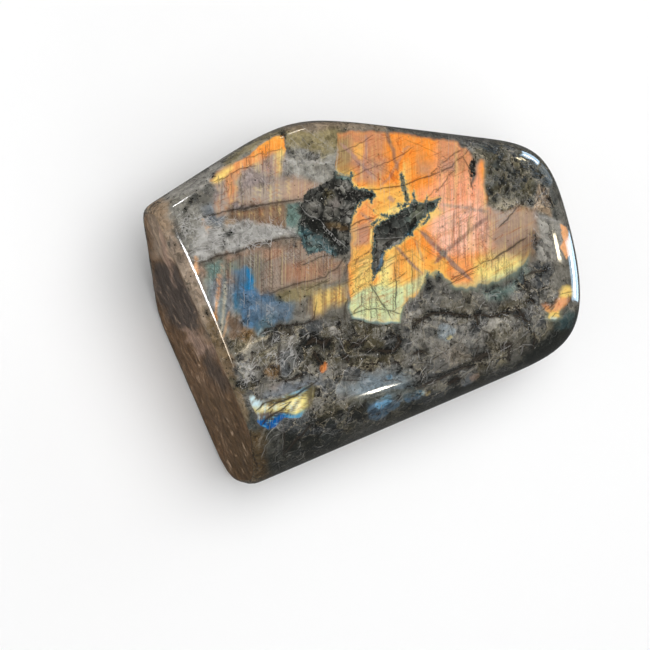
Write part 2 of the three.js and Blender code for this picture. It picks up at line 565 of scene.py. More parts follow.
# %% Ground by the ridge and below the blue field
lay(ground, (
    ("left bevel", "bevel grey", 3, 3, "165,232 181,243 196,275 210,310 226,343 236,366 236,392 220,368 "
     "208,336 190,302 176,268"),
    ("left bevel's foot", "bevel brown", 3, 3, "205,306 214,322 228,350 236,372 234,396 222,366 "
     "208,332"),
    ("pale left matrix", "ground grey", 6, 5, "236,350 262,338 296,330 300,352 280,376 250,380 "
     "236,372"),
    ("cream glow at the left", "cream", 4, 3, "236,346 244,340 252,342 246,352 238,354", 0.7),
    ("clear cells at the left", "clear grey", 3, 3, "234,362 246,358 256,366 254,378 240,380", 0.8),
    ("olive cells at the left", "khaki", 3, 3, "254,352 278,344 278,358 262,364", 0.5),
    ("blue facet at the left", "blue grey", 2, 2, "280,352 292,348 298,360 290,376 280,376", 0.7),
    ("brown spot under the blue", "amber brown", 3, 3, "240,332 250,330 254,336 246,342 240,339", 0.85),
    ("khaki facet", "khaki", 2, 2, "294,326 306,324 308,336 296,338", 0.6),
    ("lilac facet", "pale grey", 3, 3, "322,326 340,322 345,332 336,340 326,336", 0.5),
    ("olive dark at the left", "smoke olive", 4, 4, "226,380 250,378 252,390 238,396", 0.8),
    ("smooth lilac at the left", "purple grey", 3, 3, "268,384 290,382 290,392 270,394", 0.5),
    ("olive dark in the middle", "smoke olive", 6, 5, "298,334 330,330 336,348 326,366 304,362", 0.75),
    ("olive under the band", "smoke olive", 5, 4, "324,384 336,380 338,398 328,402", 0.6),
    ("lilac under the band", "haze blue", 4, 3, "335,382 348,380 350,392 337,396", 0.5),
    ("brown lens", "amber brown", 2, 2, "264,369 270,365 279,365 280,375 273,380 267,376", 0.7),
    ("grey above the low flash", "blue grey", 5, 4, "262,396 284,384 318,376 322,384 300,390 270,400"),
))

# %% Ground below the great flash
lay(ground, (
    ("middle matrix", "ground grey", 12, 8, "405,300 440,322 500,318 512,330 505,352 470,372 432,374 "
     "404,356 402,330"),
    ("matrix's smoky side", "smoke grey", 12, 8, "350,350 404,340 440,360 480,352 520,330 540,320 "
     "530,352 470,380 380,404 340,384", 0.8),
    ("matrix by the notch", "smoke grey", 8, 6, "406,296 440,282 500,296 512,308 480,312 440,310 "
     "410,322", 0.8),
    ("pale lump", "light grey", 7, 5, "452,318 476,322 500,316 508,326 488,342 462,346 446,330", 0.45),
    ("olive wedge", "khaki", 3, 3, "494,354 508,350 508,366 496,369", 0.5),
    ("clear facet at the right", "smoke grey", 3, 3, "512,336 530,332 532,350 514,362", 0.6),
    ("pinkish matrix", "tan", 9, 6, "438,346 462,344 468,360 446,366", 0.3),
    ("dark under the square", "dark grey", 7, 6, "300,322 345,320 400,328 404,352 345,366 300,362"),
    ("grey rim under the square", "slate", 3, 2, "349,318 370,323 402,326 400,332 368,330 350,324"),
    ("blue haze", "haze blue", 9, 4, "350,386 366,374 402,372 416,384 410,402 376,410 356,402", 0.8),
))

# %% Ground of the lower bevel
# The lower bevel faces down, away from the light: its near black and green black are the dark matrix
# with painted shade over it
lay(ground, (
    ("lower bevel", "near black", 7, 5, "262,426 300,418 350,404 420,396 470,378 520,360 524,372 "
     "440,406 340,454 262,480 252,450", 0.75),
    ("lower bevel's dark right", "green black", 6, 4, "400,406 470,380 520,362 560,340 578,320 584,340 "
     "540,376 420,416", 0.6),
    ("lower bevel's dark end", "green black", 7, 4, "262,432 286,420 332,416 340,446 300,468 262,480",
     0.7),
    ("lower bevel's grey", "ground grey", 5, 4, "262,440 276,428 284,436 280,456 264,462", 0.4),
    ("dark foot of the bevel", "slate", 5, 3, "246,404 258,418 262,440 262,480 250,482 246,450 "
     "242,416"),
    ("tan side of the bevel", "bevel brown", 3, 3, "232,384 242,392 248,414 246,430 238,408", 0.8),
    ("olive foot of the bevel", "bevel olive", 5, 3, "248,432 262,430 270,476 250,486 244,460", 0.85),
))

# %% Ground at the right and the top
lay(ground, (
    ("dark right corner", "slate", 8, 6, "468,138 500,138 530,148 552,172 560,204 556,216 540,210 "
     "526,200 500,198 486,200 482,180 486,160"),
    ("olive in the dark", "olive", 7, 5, "503,168 520,158 534,170 528,194 508,196", 0.5),
    ("cream haze", "cream", 6, 4, "494,206 508,198 526,204 522,214 504,216", 0.75),
    ("tan triangle", "tan", 2, 1, "538,184 549,190 552,218 533,209", 0.9),
    ("grey block", "light grey", 3, 2, "532,212 554,218 563,224 566,240 562,262 540,262 533,240", 0.8),
    ("brown by the block", "brown", 5, 3, "516,246 533,238 536,258 524,264", 0.8),
    ("dark smooth grey", "dark grey", 6, 4, "508,270 522,264 548,262 550,290 536,316 512,316 504,300"),
    ("teal fringe", "teal", 5, 3, "482,292 508,286 526,264 530,270 514,292 500,300 486,300", 0.8),
    ("grey by the edge", "ground grey", 6, 4, "548,264 572,262 576,286 556,290 548,300", 0.8),
    ("olive corner", "olive", 5, 4, "536,326 552,320 556,328 540,340 532,340", 0.6),
    # The lower right corner rounds over to face down, away from the light: its green black is painted
    # shade
    ("black green corner", "green black", 6, 3, "520,366 524,352 546,336 560,322 582,308 586,340 "
     "556,362 530,378"),
    ("teal corner", "deep teal", 4, 3, "556,318 570,312 578,316 570,330 558,330", 0.7),
    ("top edge", "dark grey", 3, 3, "384,124 440,130 500,136 520,142 500,143 440,138 390,131", 0.8),
    ("top edge at the left", "tan", 3, 3, "283,124 320,118 386,124 386,131 340,129 284,134", 0.6),
))

# %% Streaks and clouds in the ground
BROWN_STREAKED = "225,254 300,240 345,262 338,282 262,292 226,280"
STRIPED = "228,214 286,205 285,228 232,222"
VEILED = "200,226 286,226 275,240 200,258"
CLOUDED = "283,146 336,150 330,180 284,180"
BLUE_STREAKED = "204,262 236,258 242,300 238,332 222,334 210,300"
downward = smooth_step(streaks(30, 2.2, 21), 0.45, 0.75)
patch(ground, "pink brown", 5, 4, BROWN_STREAKED, 0.9, downward)
patch(ground, "deep brown", 3, 2, STRIPED, 0.35, downward)
patch(ground, "white", 5, 4, VEILED, 0.35, clouds(5.0, 22, 0.0, 0.5))
patch(ground, "smoke grey", 5, 4, VEILED, 0.35, clouds(6.0, 23, 0.1, 0.6))
patch(ground, "smoke grey", 6, 4, CLOUDED, 0.4, clouds(6.0, 24, 0.0, 0.6))
pale_streaks = smooth_step(streaks(34, 2.4, 25), 0.5, 0.75)
patch(ground, "pale grey", 5, 3, BLUE_STREAKED, 0.55, pale_streaks)
teal_streaks = smooth_step(streaks(34, 4.0, 26), 0.5, 0.3)
patch(ground, "teal", 6, 3, BLUE_STREAKED, 0.35, teal_streaks)
print("streaks over", int((downward > 0.5).sum()), "points")

# %% Colour strokes on the ground
draw(ground, (
    ("blue's halo", "steel blue", 18, "246,270 247,283 249,294", 0.65),
    ("blue", "azure", 8, "248,276 249,284 251,290", 0.85),
    ("blue's lower part", "steel blue", 12, "244,296 256,312 262,320", 0.6),
    ("blue's upright", "azure", 4, "243,274 243,286", 0.6),
    ("blue at the left", "azure", 5, "235,292 236,308", 0.4),
    ("low blue halo", "steel blue", 18, "368,416 386,405 398,396", 0.6),
    ("low blue's haze", "haze blue", 14, "388,400 408,390", 0.6),
    ("low blue", "sky", 9, "376,407 385,401 392,397", 0.85),
    ("low blue's upright", "sky", 3, "379,400 378,412", 0.4),
    ("low blue's pale side", "sky", 4, "386,378 393,376", 0.6),
    ("second blue's halo", "steel blue", 9, "404,400 420,393", 0.7),
    ("second blue", "azure", 4, "415,396 423,392", 0.9),
    ("second blue's edge", "ice", 2.5, "422,396 424,390", 0.8),
    ("second blue's gold", "yellow", 3, "425,395 431,391", 0.9),
    ("far blue", "blue grey", 9, "461,384 474,377", 0.7),
    ("far brown", "pink brown", 6, "470,380 479,375", 0.6),
    ("line over the fading field", "pale grey", 2, "440,203 470,205 500,210 530,213 562,223", 0.7),
    ("pale streaks under the veil", "pale grey", 2, "262,256 261,272 263,288", 0.6),
    ("yellow dot's haze", "haze blue", 15, "438,330 446,332 454,336", 0.55),
    ("yellow dot", "yellow", 3, "447,339 452,335", 0.6),
    ("orange lozenge", "rust", 6, "322,371 325,362", 1.0),
    ("ring", "ice", 2.4, "258,336 261,330 265,333 262,337", 0.6),
    ("peach streak", "peach", 2, "219,272 218,296 215,320", 0.9),
    ("second peach streak", "cream", 2, "226,280 224,306 221,336", 0.9),
    ("third peach streak", "peach", 1.6, "229,310 226,326 224,338", 0.7),
    ("orange streak", "dull orange", 1.6, "222,262 221,280 219,300", 0.5),
    ("peach at the ridge", "peach", 4, "196,255 196,266 197,275", 0.7),
    ("peach curl", "peach", 2, "203,218 205,228 208,236", 0.6),
    ("peach curl's back", "peach", 2, "206,226 212,228", 0.5),
    # A painted highlight: the ridge's highlight turns into a thin orange line here
    ("orange at the ridge line", "orange", 2.5, "213,312 217,322", 0.6),
), rough=1.5, soft=1.4)

# %% Pale strokes on the ground
draw(ground, (
    ("glint crack", "cream", 1.8, "243,348 252,342 262,338 275,334", 0.9),
    ("pale cell's edge", "white", 1.6, "239,366 245,362 251,370 257,379", 0.7),
    ("pale cell's foot", "pale grey", 1.6, "234,372 238,380 248,381 254,376", 0.7),
    ("second cell's edge", "pale grey", 1.4, "258,360 268,356 277,352", 0.7),
    ("facet's edge", "pale grey", 1.4, "281,352 288,348 296,352", 0.6),
    ("cream line at the left", "cream", 1.6, "256,342 266,337 277,333", 0.9),
    ("second cream line", "cream", 1.4, "233,352 240,345 247,342", 0.8),
    ("lens's pale rim", "cream", 1.4, "264,370 269,364 279,363", 0.6),
    ("foot facet's edge", "pale grey", 1.4, "279,415 264,429 260,440 259,452", 0.45),
    ("foot facet's side", "pale grey", 1.2, "278,424 278,436 277,450", 0.35),
    ("second foot facet", "pale grey", 1.2, "266,436 272,430 277,436 270,444", 0.3),
    ("pale slope", "pale grey", 8, "330,326 342,336", 0.6),
    ("third pale cell", "pale grey", 10, "410,312 424,314", 0.5),
    ("pale cloud", "pale grey", 10, "482,316 508,322", 0.3),
    ("grey highlight", "pale grey", 1.6, "285,161.5 310,162 336,163", 0.7),
    ("veil's rim", "white", 1.6, "234,225 244,221 256,221 266,225 280,228", 0.8),
    ("veil's tail", "white", 1.8, "278,234 282,233 285,229", 0.9),
    ("veil's foot", "white", 1.5, "190,256 200,253 212,254", 0.8),
), rough=1.5, soft=1.4)

# %% Shade on the ground
draw(ground, (
    ("dark below the band", "black", 5, "184,212 190,204 197,200", 0.35),
    ("dark blob", "ink grey", 5, "206,190 211,185", 0.3),
    ("dark matrix arm", "ink grey", 9, "300,345 318,340 334,350", 0.7),
    ("dark matrix foot", "ink grey", 10, "318,352 322,364", 0.6),
    ("dark clear patch", "dark grey", 12, "290,352 292,368", 0.6),
    ("shade left of the middle", "smoke olive", 14, "346,356 360,362 380,364", 0.7),
    ("shade under the clumps", "ink grey", 8, "300,356 312,362 326,356", 0.6),
    ("low band's shade", "smoke olive", 10, "344,400 420,392 470,374", 0.4),
    ("right twigs' shade", "ink grey", 8, "514,308 524,318 534,326", 0.6),
    ("shade right of the lump", "dark grey", 10, "470,346 484,352 500,356", 0.5),
    ("matrix shade", "ink grey", 12, "368,346 388,344 402,338", 0.75),
    ("low matrix shade", "dark grey", 8, "420,380 446,374 466,364", 0.7),
    ("right shade", "dark grey", 9, "500,300 520,312 530,322", 0.7),
    ("far shade", "dark grey", 8, "522,344 534,352", 0.7),
    ("shade at the dark line", "dark grey", 7, "430,314 452,312 476,318", 0.7),
), rough=1.5, soft=1.4)

# %% [markdown]
# ### The flash
# The flash is light sent back by thin layers that lie at one angle in the whole crystal, so it is
# bright here and stops sharply where the crystal is twinned or another mineral starts. It is painted
# as a coat of its own with crisp outlines, and its colour drifts from orange to gold to green, as
# the layers get thinner.

# %% Flash outlines
flash_gap = distance_map()
FLASH_OUTLINES = {
    "great flash": "337,134 350,131 370,131.5 390,133 410,135.5 440,140 456,142 460,147 466,148 470,153 "
        "472,159 470,165 472,171 471,184 481,197 486,205 494,210 505,212 518,207 534,211 537,235 "
        "533,250 530,258 525,266 519,269 514,275 507,278 500,282 493,283 487,287 480,285 476,289 "
        "471,287 467,291 461,288 455,289 448,282 443.5,279 441,274.5 438,272.5 435.5,274.5 434,279 "
        "430,278.5 427,275.5 425,279 425,284 421,292 417,299 410,299 405,306 402,316 400,323 385,325 "
        "368,322 352,318 348.5,308 350,297 347,285 348,270 350,256 350,240 350,224 352,200 350,176 "
        "337,174 335.5,165 337,150",
    "orange lobe": "477,164 480,160.5 484,162 486,168 485,176 483.5,184 485,192 487,200 487,207 474,207 "
        "470,196 471,186 474,180 476,172",
    "upper left flash": "210,181 222,170 236,162 247,158 254,150 264,143 276,136 284,134 285,152 "
        "281,163 279,178 275,180 262,172 250,168 241,172 240,186 238,200 232,204 229,214 218,216 "
        "213,206 221,192",
    "low left flash": "249,397 251,394 257,398 270,399 284,396 293,392 303,388 312,383 316,388 314,398 "
        "310,407 305,411 303,415 297,419 290,419 284,418 280,421 275,427 268,430 261,426 257,420 "
        "258,415 255,411 251,404",
    "right edge flash": "561,224 566,228 570,240 572,252 567,258 560,246 564,240 561,232",
    "right flash": "559.6,291 564,287 570,287 573.5,290 573,294 568,299 566,305 561,312 561,317 556,321 "
        "550,321 546,318.5 548,314 544,310 543,305 547,303 552,308 556,302 560,297",
    "lozenge": "320,367 323,361.5 326,361.5 326,366 323.5,373 320.5,373",
    "brown gleam": "224,262 262,251 300,245 330,258 344,264 338,280 318,282 290,288 262,290 240,284",
    "gold by the square": "312,296 322,290 345,284 346,302 330,306 322,314 314,318 308,310",
    "gleam over the brown line": "272,184 300,178 322,186 306,196 275,203 240,204 244,190",
    "striped gleam": "232,214 262,208 285,206 285,226 262,224 246,218",
}
FLASH_ROUGH = 1.5
for outline in FLASH_OUTLINES.values():
    carve(flash_gap, outline, FLASH_ROUGH)
print(len(FLASH_OUTLINES), "flashes over", int((flash_gap < 0).sum()), "points")

# %% Soft and rimmed edges
# Half the width of the flash's edge, in pixels, and how far it turns green and blue there
flash_soft = np.full(len(spots), 0.8)
SOFT_EDGES = (
    ("fading field", 8, 5.0, "502,200 550,200 550,268 516,266 506,240"),
    ("right foot", 6, 4.5, "446,274 474,268 530,258 530,300 446,300"),
    ("upper left flash", 4, 3.2, "206,160 240,166 290,154 290,220 206,220"),
    ("low left flash's end", 4, 4.0, "304,378 326,376 326,414 304,414"),
    ("low left flash's top", 2, 1.6, "246,390 310,378 310,392 250,402"),
    ("right flash", 5, 3.2, "538,282 580,282 580,326 538,326"),
    ("right of the square", 4, 3.5, "402,284 428,280 430,330 404,330"),
    ("brown gleams", 4, 6.0, "214,234 345,234 345,282 262,296 214,296"),
    ("gold by the square", 4, 6.0, "296,284 347,284 347,322 296,322"),
    ("gleam over the brown line", 3, 6.0, "240,172 330,172 322,204 240,206"),
    ("striped gleam", 2, 4.0, "226,206 290,206 288,232 226,232"),
    ("lobe", 2, 1.6, "474,156 490,156 490,192 474,192"),
    ("right side", 5, 3.0, "466,138 500,138 516,218 486,218 476,190"),
    ("notch", 3, 2.0, "420,268 450,268 450,300 420,300"),
    ("top edge", 3, 2.2, "335,126 475,134 475,150 456,146 335,138"),
)
for name, soft, half, outline in SOFT_EDGES:
    at, share = cover(outline, soft, 2)
    flash_soft[at] = flash_soft[at] + (half - flash_soft[at]) * share
rimmed = np.zeros(len(spots))
RIMMED = (
    ("foot", 5, "344,306 404,300 424,276 444,268 530,250 536,290 470,300 420,310 404,332 344,330"),
    ("lobe's right side", 3, "484,156 492,156 492,196 484,192"),
    ("right flash", 3, "540,308 566,308 566,324 540,324"),
    ("island sides", 3, "336,168 444,168 444,282 352,282 350,190 336,180"),
)
for name, soft, outline in RIMMED:
    at, share = cover(outline, soft, 1)
    rimmed[at] = np.maximum(rimmed[at], share)
print(len(SOFT_EDGES), "soft edges and", len(RIMMED), "rimmed ones")

# %% Top of the great flash
flash = coat("orange")
lay(flash, (
    ("rust top", "dull orange", 8, 3, "335,128 384,128 384,150 374,164 352,166 336,160"),
    ("olive gold edge", "khaki", 5, 2, "334,138 350,136 352,160 350,176 334,176", 0.75),
    ("yellow tan square", "gold", 2, 1, "354,142 363,142 363,159 354,160", 0.75),
    ("mauve", "mauve", 7, 3, "354,160 386,158 388,172 372,184 356,180", 0.75),
    ("rust by the band", "dull orange", 6, 3, "366,132 382,132 384,160 368,160", 0.8),
    ("deep orange", "orange", 5, 3, "396,136 438,140 437,170 424,178 402,186 404,160"),
    ("mauve in the deep orange", "mauve", 6, 3, "416,160 434,164 430,176 418,172", 0.6),
    ("soft right", "pink orange", 8, 3, "438,138 474,144 486,190 488,230 470,262 436,260 432,200"),
    ("brown top right", "dull orange", 6, 3, "440,140 472,146 474,166 456,178 440,176", 0.8),
    ("mauve top right", "mauve", 5, 2, "441,162 456,162 455,170 442,171", 0.7),
    ("pink field", "pink peach", 9, 4, "440,204 488,204 490,246 470,256 440,250 430,230"),
    ("pink lobe", "pink orange", 5, 3, "416,188 434,184 440,196 424,202 414,200", 0.7),
))

# %% Great flash between the islands
lay(flash, (
    ("gold strip", "gold", 4, 3, "366,184 400,186 404,200 396,214 376,222 372,204"),
    ("orange between", "soft orange", 5, 3, "350,204 374,200 374,222 352,226"),
    ("brown pink", "mauve", 6, 3, "349,226 373,222 372,246 352,252", 0.8),
    ("yellow rim of the island", "lemon", 3, 2, "374,222 384,214 404,202 410,206 394,218 380,228", 0.8),
    ("yellow above the island", "yellow", 4, 2, "414,214 436,206 444,212 424,226 410,236 406,242 "
     "386,256 382,250 404,238", 0.8),
))

# %% Foot of the great flash
lay(flash, (
    ("gold left of the strip", "gold", 5, 3, "350,250 372,244 372,288 350,300"),
    ("yellow left of the strip", "yellow", 4, 3, "362,262 372,252 371,282 354,296 350,286"),
    ("gold field", "gold", 7, 3, "382,250 424,250 430,276 404,296 374,296"),
    ("yellow field", "lemon", 6, 4, "380,266 398,254 400,284 404,294 376,296"),
    ("orange streaked field", "orange", 5, 3, "396,254 406,254 404,278 390,280", 0.6),
    ("green square", "pale green", 3, 2, "346,300 371,285 384,286 404,288 406,326 346,326"),
    ("green edge", "pale green", 4, 2, "404,286 426,272 424,290 406,300"),
    ("gold low right", "gold", 5, 3, "428,262 446,254 448,280 430,284", 0.8),
))

# %% Right foot and fading field of the great flash
lay(flash, (
    ("orange low right", "soft orange", 6, 3, "448,258 476,256 476,284 452,290"),
    ("yellow right", "yellow", 6, 3, "474,262 500,250 528,246 526,270 500,284 474,282"),
    ("pale right", "lemon", 5, 3, "480,270 514,254 520,268 486,284", 0.6),
    ("green right", "pale green", 4, 2, "498,276 512,274 528,260 530,268 518,286 502,292", 0.8),
    ("sage foot", "sage", 3, 3, "446,286 470,286 484,280 500,277 514,270 524,260 536,256 526,274 "
     "500,290 450,296", 0.9),
    ("green foot", "pale green", 4, 3, "440,278 456,284 474,281 498,273 514,265 526,256 520,268 500,279 "
     "476,286 456,290", 0.5),
    ("fading field", "purple grey", 12, 5, "490,202 544,202 544,256 508,252 494,258 488,240", 0.85),
    ("fading edge", "mauve", 8, 4, "482,206 494,206 496,250 484,256", 0.45),
    ("fading blush", "pink brown", 8, 4, "492,220 522,222 526,246 494,250", 0.15),
    ("pale fading", "pale grey", 5, 4, "492,208 512,210 506,222 494,228", 0.4),
    ("brown fading", "brown", 6, 4, "508,244 536,232 536,262 520,262", 0.7),
))

# %% Upper left flash
lay(flash, (
    ("upper left peach", "pale gleam", 6, 3, "206,190 240,158 262,152 290,152 290,190 240,180 238,218 "
     "206,220"),
    ("upper left orange", "soft orange", 4, 3, "228,164 262,150 276,150 262,162 242,170 238,192 "
     "228,196", 0.85),
    ("upper left gold", "gold", 3, 2, "258,148 266,140 284,132 284,146 266,152", 0.9),
    ("upper left yellow", "yellow", 3, 2, "208,183 226,168 234,166 228,176 212,186"),
    ("upper left deep", "orange", 3, 2, "250,156 272,140 284,138 284,146 264,154", 0.8),
    ("upper left lower orange", "dull orange", 5, 3, "226,176 242,172 240,206 228,210", 0.75),
    ("upper left blush", "mauve", 6, 3, "262,160 278,160 278,176 262,172", 0.5),
    ("upper left tail", "yellow", 2, 1, "276,150 286,148 284,176 277,178", 0.7),
))

# %% Low left flash
lay(flash, (
    ("low left base", "khaki", 2, 2, "246,388 326,374 326,414 246,432"),
    ("low left green", "lemon", 3, 2, "272,400 300,392 322,384 320,402 300,412 276,412", 0.5),
    ("low left ice", "ice", 2, 2, "246,394 256,394 262,400 264,410 252,408", 0.95),
    ("low left sky", "sky", 2, 2, "284,398 292,391 305,387 310,384 308,390 296,396", 0.9),
    ("low left pale top", "blue grey", 2, 2, "258,396 284,396 286,399 262,404", 0.8),
    ("low left olive", "olive", 2, 2, "262,404 276,399 296,393 304,395 286,403 264,411", 0.9),
    ("low left cream", "lemon", 2, 1.5, "252,408 272,404 288,401 290,408 280,411 256,413", 0.5),
    ("low left gold", "lemon", 2, 2, "286,400 304,397 305,408 300,415 292,416 285,411", 0.95),
    ("low left lemon", "cream light", 2, 1, "288,402 300,400 302,409 290,412", 0.85),
    ("low left end", "smoke olive", 3, 2, "306,388 324,378 326,406 307,412", 0.85),
    ("low left green line", "cream light", 1.5, 1, "260,407 284,402 286,406 262,411", 0.7),
    ("low left violet", "violet brown", 2, 1, "256,413 284,411 284,416 266,421 257,419", 0.85),
    ("low left blue", "deep azure", 2, 1.5, "256,419 268,420 274,416 282,412 288,413 296,416 302,411 "
     "304,420 270,432 256,428", 1.0),
    ("low left rim", "ice blue", 1.5, 1, "284,413 292,416 304,411 304,418 290,421", 0.8),
))

# %% Flashes at the right edge
lay(flash, (
    ("right edge peach", "peach", 3, 2, "558,222 572,222 574,260 558,260"),
    ("right gold", "yellow", 3, 2, "556,282 578,282 576,298 558,298"),
    ("right pink", "soft peach", 3, 2, "550,297 570,298 562,312 550,312", 0.9),
    ("right orange", "dull orange", 3, 2, "540,300 552,300 552,313 540,313", 0.8),
    ("right yellow", "yellow", 2, 2, "542,313 562,311 560,323 542,323"),
    ("right ice", "ice", 2, 1, "551,317 558,317 556,324 550,324", 0.9),
))

# %% Gleams at the left
lay(flash, (
    ("lozenge rust", "rust", 2, 1, "316,358 330,358 330,378 316,378"),
    ("brown gleam", "gleam", 5, 3, "206,238 347,234 346,288 262,300 206,300"),
    ("brown gleam's grey side", "ground grey", 8, 4, "206,250 250,246 266,262 262,300 206,300", 0.75),
    ("brown gleam's orange", "pink brown", 6, 3, "280,264 330,258 342,270 300,284 284,282", 0.9),
    ("brown gleam's warm side", "dull orange", 6, 3, "286,268 316,262 320,274 292,280", 0.35),
    ("brown gleam's top", "dull orange", 3, 3, "264,250 284,247 282,256 264,260", 0.3),
    ("brown gleam's green", "teal", 4, 3, "222,264 236,262 238,276 224,280", 0.6),
    ("brown gleam's azure", "azure", 3, 2, "244,268 252,268 255,292 247,294", 1.0),
    ("azure's side", "steel blue", 4, 3, "232,270 246,268 248,296 234,292", 0.8),
    ("gold gleam", "khaki", 4, 3, "300,284 347,280 347,322 300,322", 0.8),
    ("gold gleam's brown", "brown", 7, 4, "296,284 322,286 318,324 296,324", 0.85),
    ("upper gleam", "pale gleam", 5, 3, "236,176 330,172 322,204 236,208"),
    ("upper gleam's warm end", "dull orange", 6, 3, "284,178 318,180 306,198 284,198", 0.3),
    ("striped gleam", "gleam brown", 3, 3, "228,206 288,204 287,230 228,230", 1.0),
))

# %% Bands across the flash
draw(flash, (
    ("twin band", "band brown", 3.4, "386,131 388,140 393,149 394,158 397,165 398,172", 0.8),
    ("twin band's shade", "brown", 3, "387,131 389,138 391,144", 0.7),
    ("upright band", "mauve", 2.4, "366,134 366.5,160", 0.8),
    ("cross, falling", "band", 4.5, "420,230 429,240 442,253 456,267 473,281", 0.9),
    ("cross, rising", "band", 4, "492,214 472,229 458,241 443,254 434,264", 0.8),
    ("heart of the cross", "violet grey", 7, "440,251 446,256", 0.8),
    ("long thin crossing", "band", 2.4, "394,245 400,251 410,262 423,275", 0.95),
    ("cross below", "band", 2, "415,240 420,252 424,262", 0.6),
    ("crossing at the left", "mauve", 3.5, "340,142 350,152 362,166 378,182", 0.8),
    ("crossing at the island", "mauve", 2.4, "360,212 366,217 373,224", 0.8),
    ("light band over the field", "purple grey", 3, "440,204 462,207 490,212", 0.6),
    ("stain at the wedge's foot", "mauve", 5, "388,196 394,202", 0.7),
    ("second crossing", "mauve", 3, "380,186 390,178 404,150 410,146", 0.5),
), rough=0.8, soft=1.0)

# %% Rims of the flash
draw(flash, (
    ("gold line", "yellow", 2.4, "404,160 405,182 406,190", 0.6),
    ("blue rim of the square", "sky", 3.5, "349,316 362,321 380,324 400,323", 0.9),
    ("blue left rim", "sky", 2.4, "348,300 349,316", 0.7),
    ("white rim of the square", "ice", 2, "352,315 366,319 378,320", 0.5),
    ("teal by the notch", "teal", 4, "425,270 428,278 436,272 444,279", 0.8),
    ("gold rim at the strip", "lemon", 2.4, "372,228 371.5,246", 0.8),
    ("yellow over the arm", "yellow", 3, "352,182 358,188 370,189", 0.7),
    ("yellow at the wedge", "yellow", 3, "408,190 410,198 402,206", 0.7),
    ("orange by the strip", "gold", 3, "396,262 386,268", 0.5),
), rough=0.8, soft=1.0)

# %% Streaks in the great flash
GREAT_FLASH = "325,120 540,120 540,335 325,335"
SCRATCHED_RIGHT = "440,176 488,196 492,250 470,262 436,256"
SCRATCHED_LOW = "374,246 420,246 420,292 404,324 374,324"
RISE = 62.0  # degrees from upright, of the lines that rise to the right
upright_fine = streaks(40, 1.7, 31)
upright_broad = streaks(60, 5.0, 32)
rising = streaks(34, 2.2, 33, RISE)
patch(flash, "rust", 6, 3, SCRATCHED_RIGHT, 0.25, smooth_step(upright_fine, 0.5, 0.75))
patch(flash, "pink peach", 6, 3, SCRATCHED_RIGHT, 0.5, smooth_step(upright_fine, 0.42, 0.2))
patch(flash, "khaki", 6, 3, SCRATCHED_LOW, 0.2, smooth_step(upright_fine, 0.58, 0.78))
patch(flash, "rust", 6, 3, GREAT_FLASH, 0.2, smooth_step(rising, 0.6, 0.8))
patch(flash, "lemon", 6, 3, GREAT_FLASH, 0.25, smooth_step(upright_broad, 0.62, 0.85))
patch(flash, "mauve", 6, 3, GREAT_FLASH, 0.18, clouds(12.0, 34, 0.1, 0.7))
print("rising streaks lean by", RISE, "degrees")

# %% Streaks in the small flashes
GOLDEN_FIELD = "312,288 347,284 346,304 324,314 312,314"
LOW_TOP = "250,394 322,380 322,410 256,416"
LOW_FOOT = "250,416 284,412 284,426 256,432"
LOW_BLUE = "250,416 306,410 306,424 256,432"
LOW_MIDDLE = "256,400 300,390 306,412 258,418"
UPPER_LEFT = "210,130 290,130 290,216 210,216"
gold_threads = smooth_step(streaks(30, 1.9, 37), 0.42, 0.7)
patch(flash, "yellow", 3, 2, GOLDEN_FIELD, 0.75, gold_threads)
dark_threads = smooth_step(streaks(16, 1.5, 38, 35.0), 0.55, 0.75)
patch(flash, "deep brown", 3, 2, LOW_TOP, 0.75, dark_threads)
patch(flash, "ink grey", 2, 2, LOW_FOOT, 0.75, clouds(4.0, 40, 0.1, 0.5))
patch(flash, "ice blue", 2, 2, LOW_BLUE, 0.8, clouds(3.0, 44, 0.35, 0.6))
patch(flash, "ice", 3, 2, LOW_MIDDLE, 0.6, smooth_step(streaks(12, 1.5, 39), 0.6, 0.8))
patch(flash, "rust", 4, 2, UPPER_LEFT, 0.3, smooth_step(streaks(26, 1.8, 35), 0.55, 0.8))
patch(flash, "lemon", 4, 2, UPPER_LEFT, 0.4, smooth_step(streaks(26, 1.8, 36), 0.6, 0.8))
print("flash from", round(float(flash.min()), 2), "to", round(float(flash.max()), 2))

# %% [markdown]
# ### Black inclusions, cracks and hairlines
# The black islands are other minerals, such as pyroxene, caught in the feldspar: ragged, with grey
# crystals inside. Cracks are thin, dark and a little sunken. Each is kept as a map of distances to
# its edge, in photograph pixels, which stays smooth between the points of the mesh, so the
# material can cut it sharp and ragged.

